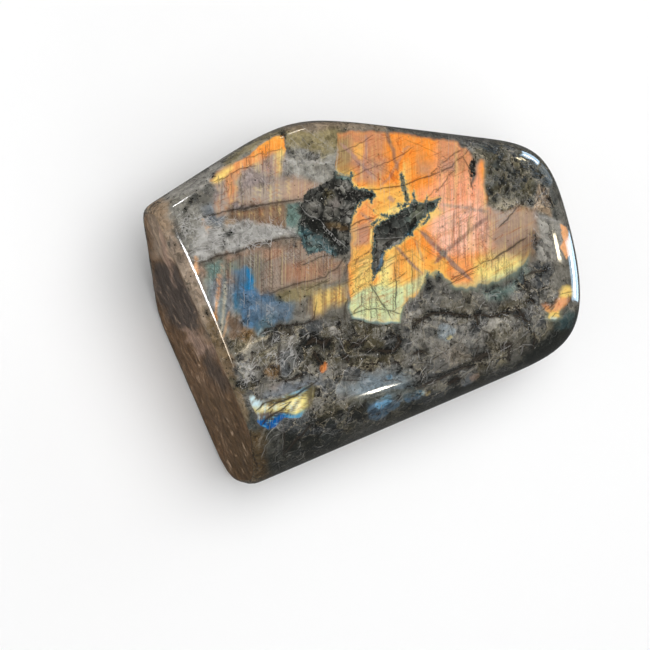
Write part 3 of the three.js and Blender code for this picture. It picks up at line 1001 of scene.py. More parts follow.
# %% Island outlines
island_gap = distance_map()
ISLAND_OUTLINES = {
    "first island": "334,173 337,177 342,176 350,177 351,174 351.5,181 354,185 357.5,188 364,189 "
        "370,189.5 375,192 375.5,197 373,199 371,201.5 368,199 364.5,201 361.5,202 358,206 356.5,210 "
        "354.5,214 352,219 350.2,225 349.6,234 349,241 349.6,248 346,255 341,254 335.4,256.5 330.5,255 "
        "323,249.7 314.6,252.8 307.2,255.3 303.5,248.5 300.4,238.7 298.6,231.3 298,222.7 301,217.8 "
        "300.4,206.8 303.5,201.8 303.5,195.7 309.6,189.6 317,187 323,183.4 329.3,181 333,178.5",
    "second island": "373.5,225.8 378.4,224 380,219 383.3,219 388.2,217.8 390,214 394.4,214.7 398,212.3 "
        "399.3,208.6 404.2,208 407.9,205.5 409.7,201.8 412.8,200 414.3,192.6 415.4,199.4 417.7,202.5 "
        "422.6,203 427.5,201.8 432.4,200.6 436.7,197.5 438.6,200.6 437.3,206.7 433.7,210.4 428.8,212.9 "
        "427.5,216.6 422.6,220.3 418.9,222.7 420.2,226.4 416.5,228.9 413.4,231.9 414,236.2 409,237.4 "
        "404.2,241.7 398,245.4 391.9,248.5 385.8,251 383.9,256 384.5,262 382,269.4 377.2,274.3 "
        "373.5,277.4 371.7,274.3 372,263.2 372.5,251 373.5,238.7",
    "black spot": "469,162 473,159 476,162 474,167 475,174 471,178 470,171",
    "small triangle": "395.5,206 397.4,202.5 399.4,206",
    "ring": "373,211 375,209.4 376.6,211 375,212.4",
}
ISLAND_ROUGH = 0.9
for outline in ISLAND_OUTLINES.values():
    carve(island_gap, outline, ISLAND_ROUGH)
print(len(ISLAND_OUTLINES), "islands over", int((island_gap < 0).sum()), "points")

# %% Spikes of the islands
SPIKE_ROUGH = 1.2
blots(island_gap, SPIKE_ROUGH, (
    ("tall spike", 3.0, "414,210 414.5,201 413.5,190"),
    ("wedge", 5.0, "402,172 403.5,184 405.5,194 407,203"),
    ("wedge's foot", 4.0, "396,207 402,206 408,203"),
    ("tip", 3.0, "426,208 434,203 441,198"),
    ("tip's spike", 2.0, "424,206 427,199 427.5,196"),
    ("left tip", 2.6, "384,221 378,220 371,226"),
    ("top edge's spike", 2.4, "392,218 386,215 380,215"),
    ("lower spike", 2.6, "420,226 426,222 431,215"),
    ("strip's foot", 2.4, "376,268 374,276 372.5,281"),
    ("arm's drip", 2.4, "362,198 361,203 359,207"),
    ("arm's second drip", 2.0, "370,196 371,201 371,205"),
    ("first island's top left", 3.0, "332,180 335,175 337,170"),
    ("first island's corner", 2.6, "350,180 352,175 351,170"),
    ("first island's left", 3.0, "304,205 300,204 297,203"),
    ("notch's spike", 2.4, "426,282 427,276 428,271"),
    ("notch's second spike", 2.4, "437,280 438,275 439,271"),
))

# %% Black clumps
# The material breaks them up into specks
pit_gap = distance_map()
PIT_ROUGH = 2.0
blots(pit_gap, PIT_ROUGH, (
    ("big clump", 12, "304,344 314,338 326,344 330,338"),
    ("big clump's foot", 8, "312,350 318,360 322,364"),
    ("clump's left arm", 5, "296,350 304,342 300,334"),
    ("clump by the slope", 7, "342,354 347,358 350,362"),
    ("specks over the slope", 4, "335,337 340,337"),
    ("hook", 8, "351,346 358,344 365,341"),
    ("large hook", 9, "376,350 384,352 394,350 400,342 398,334"),
    ("large hook's inside", 5, "382,340 388,336 396,334"),
    ("dash", 3, "412,355 418,352 422,352"),
    ("clump on the dark line", 8, "474,315 478,312 482,310"),
    ("below the dark line", 5, "476,316 477,326"),
    ("right clump", 7, "516,311 520,316 526,321"),
    ("upper right clump", 7, "527,302 530,301 533,301"),
    ("low right clump", 9, "474,362 477,358 483,356 490,354"),
    ("tall clump", 6, "501,350 506,347 510,343"),
    ("tall clump's side", 3, "510,343 509.5,352 508.5,363"),
    ("edge clump", 7, "448,384 454,381 460,378"),
    ("edge clump's foot", 3, "454,384 455.5,391"),
))

# %% Black specks at the left and the right
blots(pit_gap, PIT_ROUGH, (
    ("veil blob", 4, "222,236 226,236"),
    ("veil blob's neighbour", 4, "228,235 232,230"),
    ("veil blob's tail", 2, "223,240 223,249"),
    ("top left speck", 3.4, "212,178 215,174"),
    ("left dark", 2.4, "190,203 192,199 198,196"),
    ("left dark below", 3, "182,214 186,209"),
    ("dark wedge at the top", 6, "282,130 284,137"),
    ("right black", 5, "500,154 502,158"),
    ("right black's neighbour", 6, "514,168 519,172"),
    ("third right black", 6, "530,160 532,165"),
    ("fourth right black", 5, "488,188 492,194"),
    ("fifth right black", 4, "493,200 497,196"),
    ("sixth right black", 6, "527,198 531,205"),
    ("top black", 5, "486,148 494,150 500,148"),
    ("right dark cloud", 4, "494,178 506,182 520,178"),
    ("second right dark cloud", 4, "510,192 520,186 528,176"),
    ("right dark twig", 3, "500,164 510,172 514,184"),
    ("second right dark twig", 3, "520,158 528,168 540,174"),
    ("right teal black", 3, "545,184 548,182"),
))

# %% Small black specks
blots(pit_gap, PIT_ROUGH, (
    ("crack blob", 4, "206,309 208,315"),
    ("left black", 4, "252,354 257,353"),
    ("lens's black", 4, "272,369 276,368"),
    ("left black below", 4, "250,374 255,382"),
    ("dark left foot", 6, "236,386 248,382"),
    ("lower left black", 4, "312,415 311,421"),
    ("lower middle black", 6, "338,411 341,417"),
    ("lower right black", 5, "358,419 364,417"),
    ("tiny hook", 3, "435,332 437,335 434.5,337"),
    ("blue's black", 4, "397,398 400,396"),
    ("speck in the brown", 3, "294,244 295,245"),
    ("speck by the first island", 3, "280,296 282,301"),
    ("block's black", 4, "534,234 536,244 537,250"),
    ("line above the block", 4, "536,276 545,272 549,266"),
    ("corner's rim", 4, "531,336 534,342 533,351"),
    ("notch's shade", 5, "427,281 428,286 430,292"),
    ("notch's right", 4, "437,277 440,281"),
))

# %% Black seams of the islands
blots(pit_gap, PIT_ROUGH, (
    ("first island's seam", 9, "309,221 315,225 323,231"),
    ("below the band", 5, "322,227 330,232 337,236"),
    ("first island's seam end", 3.5, "324,231 333,241 340,247 346,251"),
    ("first island's left seam", 3.5, "300,207 304,214 309,219"),
    # The black of the hollow by the first island's glint is painted shade
    ("first island's hollow", 3.5, "324,196 325,203"),
    ("second island's top", 2, "378,228 388,225 396,220"),
    ("second island's tip", 3, "420,210 428,206 434,204"),
))

# %% Dark lines in the grains
blots(pit_gap, PIT_ROUGH, (
    ("dark line", 5, "424,319 431,313 445,313 455,315 461,316 474,317"),
    ("dark line's end", 4, "482,315 492,316 500,314 514,312"),
    ("dark line's start", 4, "411,327 418,323 426,319"),
    ("dark line's lower edge", 2.6, "360,352 372,352 384,354 392,352"),
    ("low dark line", 4.5, "436,376 448,372 462,366 476,360"),
    ("low dark line's start", 4, "404,388 420,382 436,376"),
    ("far dark line", 2.6, "520,312 528,322 532,334"),
    ("dark seam at the left", 3.6, "262,334 272,330 290,326 306,322"),
    ("dark seam by the lens", 2.6, "277,382 286,380 294,378 300,374"),
))

# %% Colours of the first island
island = coat("ink grey")
island *= (1 + 0.35 * noise(pixels, 5.0, 41))[:, None]
lay(island, (
    ("left lump", "dark grey", 3, 3, "304,204 318,200 324,208 320,217 306,214"),
    ("left lump's light", "ground grey", 3, 2, "306,204 314,202 318,208 308,210", 0.5),
    ("middle lump", "ground grey", 3, 2, "326,198 342,197 344,204 338,216 328,222 322,216", 0.75),
    ("pale middle", "purple grey", 3, 2, "330,200 341,199 338,208 331,210", 0.5),
    ("top lump", "ground grey", 3, 2, "330,182 346,180 349,190 338,194 328,192", 0.7),
    ("grey top", "dark grey", 3, 2, "306,192 312,188 330,182 326,192", 0.9),
    ("olive lump", "olive", 3, 2, "324,191 332,190 334,197 326,198", 0.9),
    ("brown band", "deep brown", 3, 2, "324,222 336,222 350,224 350,231 338,231 326,228"),
    ("brown band's light", "khaki", 3, 1.5, "330,223 344,224 346,226 332,226", 0.4),
    ("teal foot", "deep teal", 5, 3, "297,220 306,226 318,236 332,246 340,258 308,256 300,240"),
    ("grey in the teal", "ground grey", 4, 3, "304,236 316,240 322,248 308,250", 0.45),
    ("grey foot", "ground grey", 3, 2, "338,232 348,231 346,242 340,240", 0.8),
    ("smooth slope", "dark grey", 3, 2, "346,204 357,202 350,222 340,222", 0.85),
    ("slope's light", "light grey", 2, 1, "342,220 346,213 352,210 350,222", 0.5),
    ("arm", "dark grey", 3, 2, "352,186 374,190 374,197 356,198", 0.8),
))

# %% Colours of the second island
lay(island, (
    ("second island's shards", "slate", 4, 3, "374,226 412,206 412,232 376,238", 0.8),
    ("second island's grey", "ground grey", 3, 2, "374,239 401,239 408,238 394,247 382,251 374,250",
     0.75),
    ("pale lower edge", "light grey", 2, 1, "392,243 404,239 398,246 386,250", 0.7),
    ("second island's strip", "dark grey", 3, 2, "372,250 382,250 377,276 371,274", 0.8),
    ("grey green tip", "teal", 4, 3, "408,206 436,198 438,206 420,220 406,226", 0.4),
    ("olive mottle", "olive", 4, 3, "412,206 432,200 420,220 410,228", 0.4),
    ("wedge olive", "olive", 2, 2, "400,178 409,178 409,200 401,200", 0.8),
    ("spike teal", "teal", 2, 1, "411,190 418,190 418,203 410,203", 0.8),
    ("teal edge", "deep teal", 2, 2, "406,232 415,226 415,234 406,240", 0.8),
))
BOTH_ISLANDS = "296,172 440,172 440,280 296,280"
grey_clouds = clouds(5.0, 42, 0.25, 0.9)
black_clouds = clouds(6.0, 43, 0.3, 0.8)
patch(island, "ground grey", 3, 2, BOTH_ISLANDS, 0.5, grey_clouds)
patch(island, "black", 3, 2, BOTH_ISLANDS, 0.6, black_clouds)

# %% Edges inside the islands
# The glint, the slope's light, the shades and the black of the hollow are painted light and shade on the
# islands' lumps
draw(island, (
    ("left lump's edge", "light grey", 1.6, "304,212 311,217 318,218", 0.7),
    ("top lump's left edge", "light grey", 1.4, "331,183 329,190", 0.6),
    ("top lump's right edge", "light grey", 1.6, "345,181 349,188 344,192", 0.7),
    ("slope's upper edge", "light grey", 1.6, "340,221 344,212 350,204", 0.6),
    ("hollow", "black", 4, "321,197 324,204 323,210", 0.9),
    ("hollow's foot", "black", 3, "323,210 320,217", 0.7),
    ("edge of the arm", "black", 3, "352,182 354,190 358,194", 0.9),
    ("shade of the slope", "black", 3, "343,222 346,214 352,206", 0.5),
    ("shade over the band", "black", 2.4, "324,221 338,221 348,223", 0.6),
    ("shade under the band", "black", 2.4, "328,232 340,232 349,230", 0.7),
    ("glint", "cream", 2.2, "323.5,194 324.5,199 326.5,205", 0.9),
    ("lump's rim", "light grey", 2.0, "341,210 346,203", 0.9),
    ("curl", "dark grey", 1.6, "312,191 312,195 317,196 321,192", 0.8),
    ("blue edge", "teal", 3.0, "298.5,220 300,236", 0.7),
    ("teal's lower light", "teal", 4.0, "306,250 314,248 322,246", 0.5),
    ("teal in the top", "teal", 3.0, "340,178 350,178", 0.9),
    ("blue strip edge", "steel blue", 2.4, "383,252 381,264 376,273", 0.8),
    ("azure corner", "sky", 2.0, "405,236 410,234", 0.7),
), rough=0.8, soft=0.8)

# %% Brown lines at the left
crack_lines, hair_lines = np.full((2, len(spots)), FAR)
crack_tones, hair_tones = np.zeros((2, len(spots)))
DARK = (crack_lines, crack_tones)
PALE = (hair_lines, hair_tones)
CRACK_ROUGH = 1.2
mark(*DARK, CRACK_ROUGH, (
    ("first brown line", 1.7, 0.8, "196,219 215,214 230,211 246,208 262,205 282,202 300,199"),
    ("second brown line", 2.0, 0.8, "200,263 215,257 236,252 255,245 276,240 296,237"),
    ("third brown line", 1.5, 0.7, "268,293 285,288 305,281 325,277 338,266 345,256"),
    ("fourth brown line", 1.4, 0.8, "300,266 318,258 332,254"),
    ("line in the upper flash", 0.9, 0.8, "212,183 228,176 240,169 256,166"),
    ("second line in the upper flash", 0.8, 0.6, "246,158 262,154 283,148"),
))

# %% Cracks in the foot of the great flash
mark(*DARK, CRACK_ROUGH, (
    ("square's crack", 1.4, 0.9, "369,283 376,293 384,306 391,318"),
    ("square's low crack", 1.1, 0.8, "350,315 362,311 376,308 390,311 402,314"),
    ("square's upright crack", 0.8, 0.7, "362,292 361,306 352,314"),
    ("square's right crack", 1.1, 0.9, "395,266 396,290 395,312"),
    ("second upright crack", 0.8, 0.7, "370,296 371,320"),
    ("third upright crack", 0.9, 0.8, "383,264 383,292"),
    ("fourth upright crack", 0.7, 0.7, "376,284 377,320"),
    ("fifth upright crack", 0.7, 0.7, "412,262 412,286"),
))

# %% Cracks in the great flash
mark(*DARK, CRACK_ROUGH, (
    ("long flash crack", 0.8, 0.6, "348,178 366,170 388,162 412,148"),
    ("flash crack above", 0.8, 0.6, "340,152 354,146 372,136"),
    ("flash crack below", 1.1, 0.8, "366,190 386,188 402,186 422,178 440,172"),
    ("crack through the right", 1.2, 0.8, "424,178 440,172 452,166 462,156 470,149"),
    ("second right crack", 1.0, 0.7, "436,192 448,178 456,168"),
    ("third right crack", 1.0, 0.7, "430,174 446,160 462,148"),
    ("fourth right crack", 0.7, 0.5, "420,206 434,190 444,184"),
    ("crack to the lobe", 1.2, 0.9, "468,168 470,180 473,190"),
    ("crack over the lobe", 1.0, 0.8, "462,156 468,166 470,172"),
    ("brown pink crack", 1.3, 0.8, "350,226 362,220 374,218"),
    ("second brown pink crack", 0.8, 0.7, "351,232 364,228 374,226"),
    ("low brown crack", 1.0, 0.8, "352,266 362,256 372,249"),
    ("low crack", 0.9, 0.7, "350,282 362,274 372,266"),
    ("lower crack", 0.9, 0.7, "350,295 362,286 372,280"),
    ("field crack", 0.9, 0.6, "380,272 396,262 410,258"),
    ("second field crack", 0.9, 0.6, "384,262 400,254 412,250"),
    ("third field crack", 0.8, 0.6, "386,286 398,278 406,272"),
    ("crack in the pink", 0.6, 0.4, "440,196 452,200 464,190"),
))

# %% Cracks in the right foot
mark(*DARK, CRACK_ROUGH, (
    ("right rising crack", 1.5, 0.9, "490,262 503,252 516,245 526,238"),
    ("right upper crack", 1.2, 0.9, "498,228 508,218 516,208 524,202"),
    ("low right crack", 1.0, 0.8, "450,280 466,272 484,262 498,258"),
    ("lowest right crack", 0.9, 0.7, "446,286 462,278 476,272"),
    ("crack right of the notch", 1.8, 0.9, "524,276 536,272 548,270"),
))

# %% Cracks at the lower left
mark(*DARK, CRACK_ROUGH, (
    ("crack in the low flash", 1.8, 1.0, "268,410 278,402 294,397 302,391 318,380"),
    ("second crack in the low flash", 1.5, 1.0, "262,425 270,416 282,409 292,402"),
    ("third crack in the low flash", 1.0, 0.9, "256,411 264,403 276,400"),
    ("brown crack", 1.4, 0.9, "276,381 290,380 304,374"),
    ("low crack right", 1.8, 1.0, "418,388 432,382 446,376 462,368 472,366"),
    ("lower bevel crack", 1.2, 0.8, "283,420 284,440 284,456"),
    ("lower bevel crack to the right", 1.8, 1.0, "286,452 296,440 312,424"),
    ("corner crack", 1.5, 0.8, "250,432 251,450 258,468"),
    ("ridge crack", 1.0, 0.7, "230,386 244,396"),
))

# %% Cracks between the zones
mark(*DARK, CRACK_ROUGH, (
    ("crack at the blue", 1.2, 0.8, "262,334 268,328 290,325 312,322"),
    ("crack by the square", 1.0, 0.8, "316,302 314,318 305,324"),
    ("crack left of the square", 1.2, 0.9, "347,298 344,312 345,320"),
    ("tan crack", 1.1, 0.7, "165,200 170,196"),
    ("crack under the veil", 0.8, 0.9, "223,240 223,249"),
    ("brown loop", 1.1, 0.9, "364,374 372,366 372,362 374,370"),
    ("lens rim", 1.0, 0.8, "264,372 272,360 279,360 279,378"),
    ("right grain line", 1.4, 0.8, "534,330 535,340 533,350"),
    ("right corner line", 1.1, 0.8, "540,196 532,206"),
    ("brown band's crack", 0.9, 0.6, "305,290 316,286 330,280"),
))

# %% Cores of the dark lines and clumps
mark(*DARK, CRACK_ROUGH, (
    ("dark line's core", 1.6, 1.0, "411,327 418,322 424,319 431,314 445,313 455,315 461,316 470,317"),
    ("dark line's right core", 1.8, 1.0, "476,314 482,315 492,316 500,314 514,312"),
    ("dark line's foot", 2.2, 1.0, "474,314 477,319 477,326"),
    ("right twig", 2.2, 1.0, "514,306 519,312 523,318 529,322"),
    ("second right twig", 1.8, 1.0, "524,302 530,300 534,304"),
    ("third right twig", 1.6, 1.0, "513,317 520,316 526,312"),
    ("low right wedge", 4.0, 1.0, "473,361 480,358 489,353"),
    ("tall wedge", 4.4, 1.0, "501,350 506,346 511,342"),
    ("tall wedge's side", 1.8, 1.0, "510,343 509.5,352 508,362"),
    ("hook's core", 2.4, 1.0, "351,347 358,343 365,341"),
    ("large hook's core", 2.6, 1.0, "378,350 386,352 394,350 400,342 398,335"),
    ("big clump's core", 3.0, 1.0, "305,345 313,339 322,343 330,338"),
    ("second core of the big clump", 2.4, 1.0, "312,350 317,358 322,364"),
    ("core by the slope", 2.4, 1.0, "342,354 347,358 350,362"),
    ("edge clump's core", 2.4, 1.0, "448,384 454,381 461,377"),
    ("short dash", 2.0, 1.0, "412,355 418,352 424,352"),
    ("matrix's upright crack", 1.4, 1.0, "280,345 279.5,354 278.5,365"),
    ("short matrix crack", 1.3, 1.0, "252,352 252.5,361"),
    ("lens's dark rim", 1.3, 1.0, "271,366 276,367 280,372 278,378"),
    ("matrix crack", 1.0, 0.8, "432,360 444,352 452,344"),
    ("second matrix crack", 1.0, 0.8, "478,326 490,334 498,348"),
    ("third matrix crack", 1.0, 0.8, "360,352 372,350 386,352 394,350"),
    ("fourth matrix crack", 1.0, 0.8, "330,352 342,346 352,340"),
))

# %% Hairlines in and by the islands
HAIR_ROUGH = 1.3
mark(*PALE, HAIR_ROUGH, (
    ("long hairline", 0.6, 0.65, "290,343 296,351 301,360 308.6,369.7 316,377 326,393.7 342.8,407.7 "
     "348,414"),
    ("pale seam", 0.7, 1.0, "300,205 305,212 312,217.4 320,220 323,225 328,229 333,234 336.4,239 "
     "342.4,244 348,249"),
    ("pale seam's side", 0.6, 0.8, "322,227 326,231 331,236 335,241 341,247"),
    ("pale bar", 0.8, 0.6, "374,239 384,238 401,238.5"),
    ("mottle line", 1.0, 0.6, "408,222 418,214 424,209"),
    ("lump line", 0.9, 0.5, "306,200 312,206 320,204"),
    ("top lump line", 0.9, 0.6, "338,184 344,188 348,184"),
), thin=0.8, faint=0.75)

# %% Hairlines elsewhere
mark(*PALE, HAIR_ROUGH, (
    ("low hairline", 0.9, 0.7, "336,402 350,396 360,390"),
    ("crossing hairline", 0.9, 0.6, "330,332 340,340 346,352"),
    ("hairline in the dark foot", 0.7, 0.8, "264,442 268,434 276,426 281,434"),
    ("second hairline in the foot", 0.7, 0.7, "266,446 274,436 280,434"),
    ("hairline in the middle", 1.0, 0.7, "262,334 272,330 286,336"),
    ("white line in the block", 1.4, 0.9, "533,228 539,236"),
    ("light line at the flash", 1.2, 0.8, "337.5,146 337,172"),
    ("cross at the left", 1.0, 0.5, "298,146 318,156 326,162"),
    ("second cross at the left", 0.8, 0.4, "300,136 312,148 324,154"),
    ("cross in the grey", 0.9, 0.6, "262,178 268,184 276,180"),
    ("hair in the lower bevel", 0.5, 0.5, "283,420 282,436 283,450"),
    ("hair by the corner", 0.9, 0.6, "262,458 266,446 272,438"),
    ("hair at the right", 0.9, 0.5, "534,200 548,190"),
    ("hairs by the blue", 1.0, 0.7, "228,312 232,304"),
    ("hair above the veil", 0.8, 0.5, "232,206 236,198 246,192"),
    ("upright hair", 0.8, 0.5, "242,162 242,190"),
    ("second upright hair", 0.8, 0.4, "268,150 267,176"),
    ("hair in the left matrix", 1.0, 0.8, "240,362 250,374 254,380"),
    ("second hair in the left matrix", 0.9, 0.6, "256,350 262,362 270,372"),
    ("hair across the square's foot", 0.9, 0.5, "404,300 412,318 410,330"),
    ("hair in the middle matrix", 0.9, 0.5, "420,336 436,348 448,356"),
    ("hair by the right grain", 0.9, 0.5, "500,322 508,334 506,344"),
    ("hair to the edge", 0.9, 0.6, "510,352 524,344 534,346"),
), thin=0.8, faint=0.75)

# %% [markdown]
# ### Scratches and feathers
# Beside the lines that were drawn one by one, each zone gets many fine ones of its own: straight
# edges of layers in the flash, short cracks in the grains, and pale feathers where a healed crack
# scatters the light. They are drawn at random, from one seed, so that they are the same each time.

# %% Strew lines over a zone
LINE_SEED = 11
pick = np.random.default_rng(LINE_SEED)


def strew(lines, tones, count, zone, length, lean, spread, tone, bend=0.0, width=(0.45, 0.85)):
    """Strews tapered lines over a zone: `lean` is in degrees from upright, clockwise."""
    zone = drawn(zone)
    low, high = zone.min(axis=0), zone.max(axis=0)
    spares = pick.uniform(low, high, (6 * count, 2))
    starts = spares[inside_gap(zone, spares) < 0][:count]
    for start in starts:
        turn = radians(lean + pick.uniform(-spread, spread))
        ahead = np.array([sin(turn), -cos(turn)])
        aside = np.array([ahead[1], -ahead[0]])
        half = pick.uniform(*length) / 2
        sag = bend * half * pick.uniform(-1, 1)
        line = (start - half * ahead, start + sag * aside, start + half * ahead)
        score(lines, tones, pick.uniform(*width), line, pick.uniform(*tone), 0.4)


print("lines are strewn from seed", LINE_SEED)

# %% Dark lines
RIGHT_OF_FLASH = "438,146 470,150 484,192 492,250 470,266 436,262"
FOOT_OF_FLASH = "350,250 374,240 424,248 426,280 404,320 350,318"
WHOLE_FLASH = "352,134 462,146 484,200 484,260 424,270 352,300"
BROWN_FIELD = "206,262 300,242 345,258 340,282 262,292 206,288"
RIGHT_HEART = "440,210 490,210 490,262 452,266"
RIGHT_FOOT = "474,264 526,248 524,280 480,284"
LEFT_FIELD = "350,252 386,250 386,284 352,296"
UPPER_LEFT_FLASH = "214,184 240,160 283,138 282,172 238,210 216,212"
STRIPED_BROWN = "230,212 285,206 285,226 232,222"
MATRIX = (
    "238,350 300,326 400,328 410,296 440,284 512,292 556,300 546,340 470,376 380,410 300,384 256,392"
)
strew(*DARK, 60, RIGHT_OF_FLASH, (14, 46), 1, 2.5, (0.15, 0.4))
strew(*DARK, 22, RIGHT_HEART, (10, 30), 1, 2, (0.3, 0.6))
strew(*DARK, 40, FOOT_OF_FLASH, (12, 40), 1, 2.5, (0.25, 0.6))
strew(*DARK, 20, RIGHT_FOOT, (8, 24), 1, 3, (0.3, 0.7))
strew(*DARK, 18, WHOLE_FLASH, (24, 70), 61, 6, (0.15, 0.45), 0.05)
strew(*DARK, 14, WHOLE_FLASH, (20, 60), 122, 8, (0.15, 0.4), 0.05)
strew(*DARK, 14, LEFT_FIELD, (16, 40), 62, 3, (0.3, 0.6))
strew(*DARK, 50, BROWN_FIELD, (10, 34), 1, 2.5, (0.25, 0.6))
strew(*DARK, 18, STRIPED_BROWN, (8, 18), 1, 2, (0.2, 0.5))
strew(*DARK, 26, UPPER_LEFT_FLASH, (8, 30), 1, 3, (0.25, 0.6))
strew(*DARK, 90, MATRIX, (5, 22), 60, 50, (0.4, 1.0), 0.3)
print("dark lines cover", int((np.abs(crack_lines) < 1).sum()), "points")

# %% Pale lines
TOP_GREY = "284,150 334,150 326,190 262,200"
TOP_CORNER = "284,140 345,132 336,172 290,180"
BLUE_FIELD = "230,282 290,300 288,322 244,330"
LEFT_GRAINS = "236,346 296,332 298,374 246,384"
RIGHT_EDGE = "545,300 560,290 572,290 564,312 550,318"
LOWER_BEVEL = "300,384 400,376 340,440 262,476"
VEIL = "176,214 284,222 276,242 196,260"
DARK_RIGHT = "486,150 550,160 556,214 500,220"
strew(*PALE, 24, BROWN_FIELD, (10, 34), 1, 2, (0.2, 0.6))
strew(*PALE, 18, TOP_GREY, (6, 18), 1, 3, (0.3, 0.7))
strew(*PALE, 16, TOP_CORNER, (20, 60), 125, 15, (0.2, 0.5))
strew(*PALE, 22, BLUE_FIELD, (6, 20), 1, 3, (0.2, 0.5))
strew(*PALE, 130, MATRIX, (4, 13), 45, 60, (0.3, 0.9), 0.2, (0.4, 0.7))
strew(*PALE, 40, LEFT_GRAINS, (6, 16), 40, 50, (0.4, 1.0), 0.25)
strew(*DARK, 8, RIGHT_EDGE, (6, 14), 60, 50, (0.4, 0.8))
strew(*PALE, 44, LOWER_BEVEL, (4, 14), 30, 60, (0.15, 0.5), 0.5)
strew(*PALE, 130, VEIL, (4, 14), 50, 70, (0.6, 1.0), 0.6, (0.5, 0.9))
strew(*PALE, 34, DARK_RIGHT, (3, 10), 40, 80, (0.1, 0.4), 0.6)
strew(*PALE, 20, WHOLE_FLASH, (10, 40), 1, 2, (0.15, 0.45))
print("pale lines cover", int((np.abs(hair_lines) < 1).sum()), "points")

# %% Where the layers show as lines
layered = 0.15 * (1 - smooth_step(flash_gap, -4, 2))
LAYERED = (
    ("right of the great flash", 5, 1.0, "440,176 486,190 492,250 470,262 436,256 440,210"),
    ("foot of the great flash", 4, 1.0, "374,244 424,246 424,292 404,324 350,324 350,300"),
    ("right foot", 4, 0.8, "474,262 500,250 524,250 520,284 486,290"),
    ("top of the great flash", 6, 0.45, "352,134 440,140 440,200 352,186"),
    ("upper left flash", 4, 0.7, "214,182 240,160 283,138 284,176 270,168 240,182 238,214 216,214"),
    ("gold by the square", 4, 0.9, "296,290 345,278 346,304 322,318 300,318"),
    ("brown field", 6, 0.8, "206,262 300,242 345,258 340,284 262,292 206,290"),
    ("striped brown", 3, 0.9, "228,212 285,206 285,228 232,222"),
    ("blue field", 5, 0.6, "206,276 290,292 292,320 262,332 216,330"),
    ("purple grey", 6, 0.35, "240,168 330,150 320,190 300,200 240,206"),
)
for name, soft, strength, outline in LAYERED:
    at, share = cover(outline, soft, 3)
    layered[at] = np.maximum(layered[at], share * strength)
print(len(LAYERED), "layered parts")

# %% [markdown]
# ### Sides and back
# The photograph shows the face and the sawn end. The sides and the back are the same stone, so they
# get the same ground with a few small flashes of their own, placed by noise in the solid, and the
# painted markings fade into them over the rounded edges.

# %% Flashes and inclusions of the sides
SIDE_LUMP = 13.0  # millimetres
FLASH_LEVEL = 0.42
ISLAND_LEVEL = 0.62
AWAY = 14  # pixels, added to a distance where nothing of that kind is wanted
hidden = 1 - seen
side_noise = noise(spots, SIDE_LUMP, 51) + 0.25 * noise(spots, 3.0, 52)
side_flash_gap = (FLASH_LEVEL - side_noise) * 16
side_islands = noise(spots, 7.0, 53) + 0.35 * noise(spots, 1.8, 54)
side_island_gap = (ISLAND_LEVEL - side_islands) * 10
flash_gap = np.minimum(flash_gap + 6 * hidden, side_flash_gap + AWAY * seen)
island_gap = np.minimum(island_gap + 4 * hidden, side_island_gap + AWAY * seen)
crack_tones *= seen
hair_tones *= seen
print("points out of sight:", int((hidden > 0.5).sum()))

# %% Colours of the sides
side_hue = smooth_step(noise(spots, 22.0, 55), -0.5, 0.5)[:, None]
side_shine = (1 - side_hue) * np.array(SHADES["steel blue"]) + side_hue * np.array(SHADES["gold"])
side_colour = coat("ground grey") * (1 + 0.25 * broad_lumps + 0.12 * fine_lumps)[:, None]
# Sides that face the way the lower bevel does are painted near black, as the bevel is: painted shade
# over the dark matrix
shade_under_bevel = 0.85 * smooth_step(-facing[:, 1], 0.0, 0.45) * smooth_step(facing[:, 2], -0.9, -0.2)
side_colour += (coat("near black") - side_colour) * shade_under_bevel[:, None]
ground += (side_colour - ground) * hidden[:, None]
flash += (0.75 * side_shine / 255 - flash) * hidden[:, None]
island += (coat("black") - island) * hidden[:, None]
print("points of the dark lower side:", int((shade_under_bevel > 0.5).sum()))

# %% Grainy parts
grain = 0.25 + 0.5 * hidden
GRAINY = (
    ("lower part", 8, "228,338 262,330 300,322 345,320 404,326 406,300 430,290 470,290 506,300 520,262 "
     "548,262 560,300 545,340 460,386 380,420 300,440 256,420 238,380"),
    ("dark right", 6, "464,138 500,138 546,160 556,212 500,214 484,196"),
)
for name, soft, outline in GRAINY:
    at, share = cover(outline, soft, 4)
    grain[at] = np.maximum(grain[at], share)
CLEAR = (
    ("blue field", 6, 0.6, "206,262 300,262 300,322 262,334 216,330"),
    ("veil", 4, 0.95, "196,226 240,218 290,224 278,242 200,262"),
    ("clear left matrix", 6, 0.5, "238,350 262,338 300,334 296,372 262,384 244,380"),
    ("clear middle matrix", 8, 0.5, "404,330 450,322 500,322 500,350 440,372 400,360"),
    ("clear above the dark line", 6, 0.45, "410,300 440,288 500,300 500,312 440,310 412,322"),
    ("clear facet at the right", 4, 0.6, "508,336 530,330 532,352 512,366"),
    ("grey above the low flash", 3, 0.8, "256,384 296,380 328,372 322,384 300,392 262,398"),
    ("blue haze", 5, 0.75, "338,382 366,370 404,370 418,384 412,406 376,416 344,402"),
    ("blue facet at the left", 3, 0.5, "280,350 292,347 298,360 290,376 280,376"),
    ("lower bevel", 6, 0.35, "262,436 300,424 350,408 420,400 520,364 524,376 262,484"),
    ("right corner", 5, 0.8, "524,352 546,336 584,312 584,350 530,376"),
)
for name, soft, strength, outline in CLEAR:
    at, share = cover(outline, soft, 3)
    grain[at] *= 1 - strength * share
print(len(GRAINY), "grainy and", len(CLEAR), "clear parts")

# %% [markdown]
# ### The sawn end
# The saw leaves a matt end with long fibres, where no light comes back from the layers. It has
# its own coat, in beige, slate and pink, and the flash and the inclusions are moved away from it.

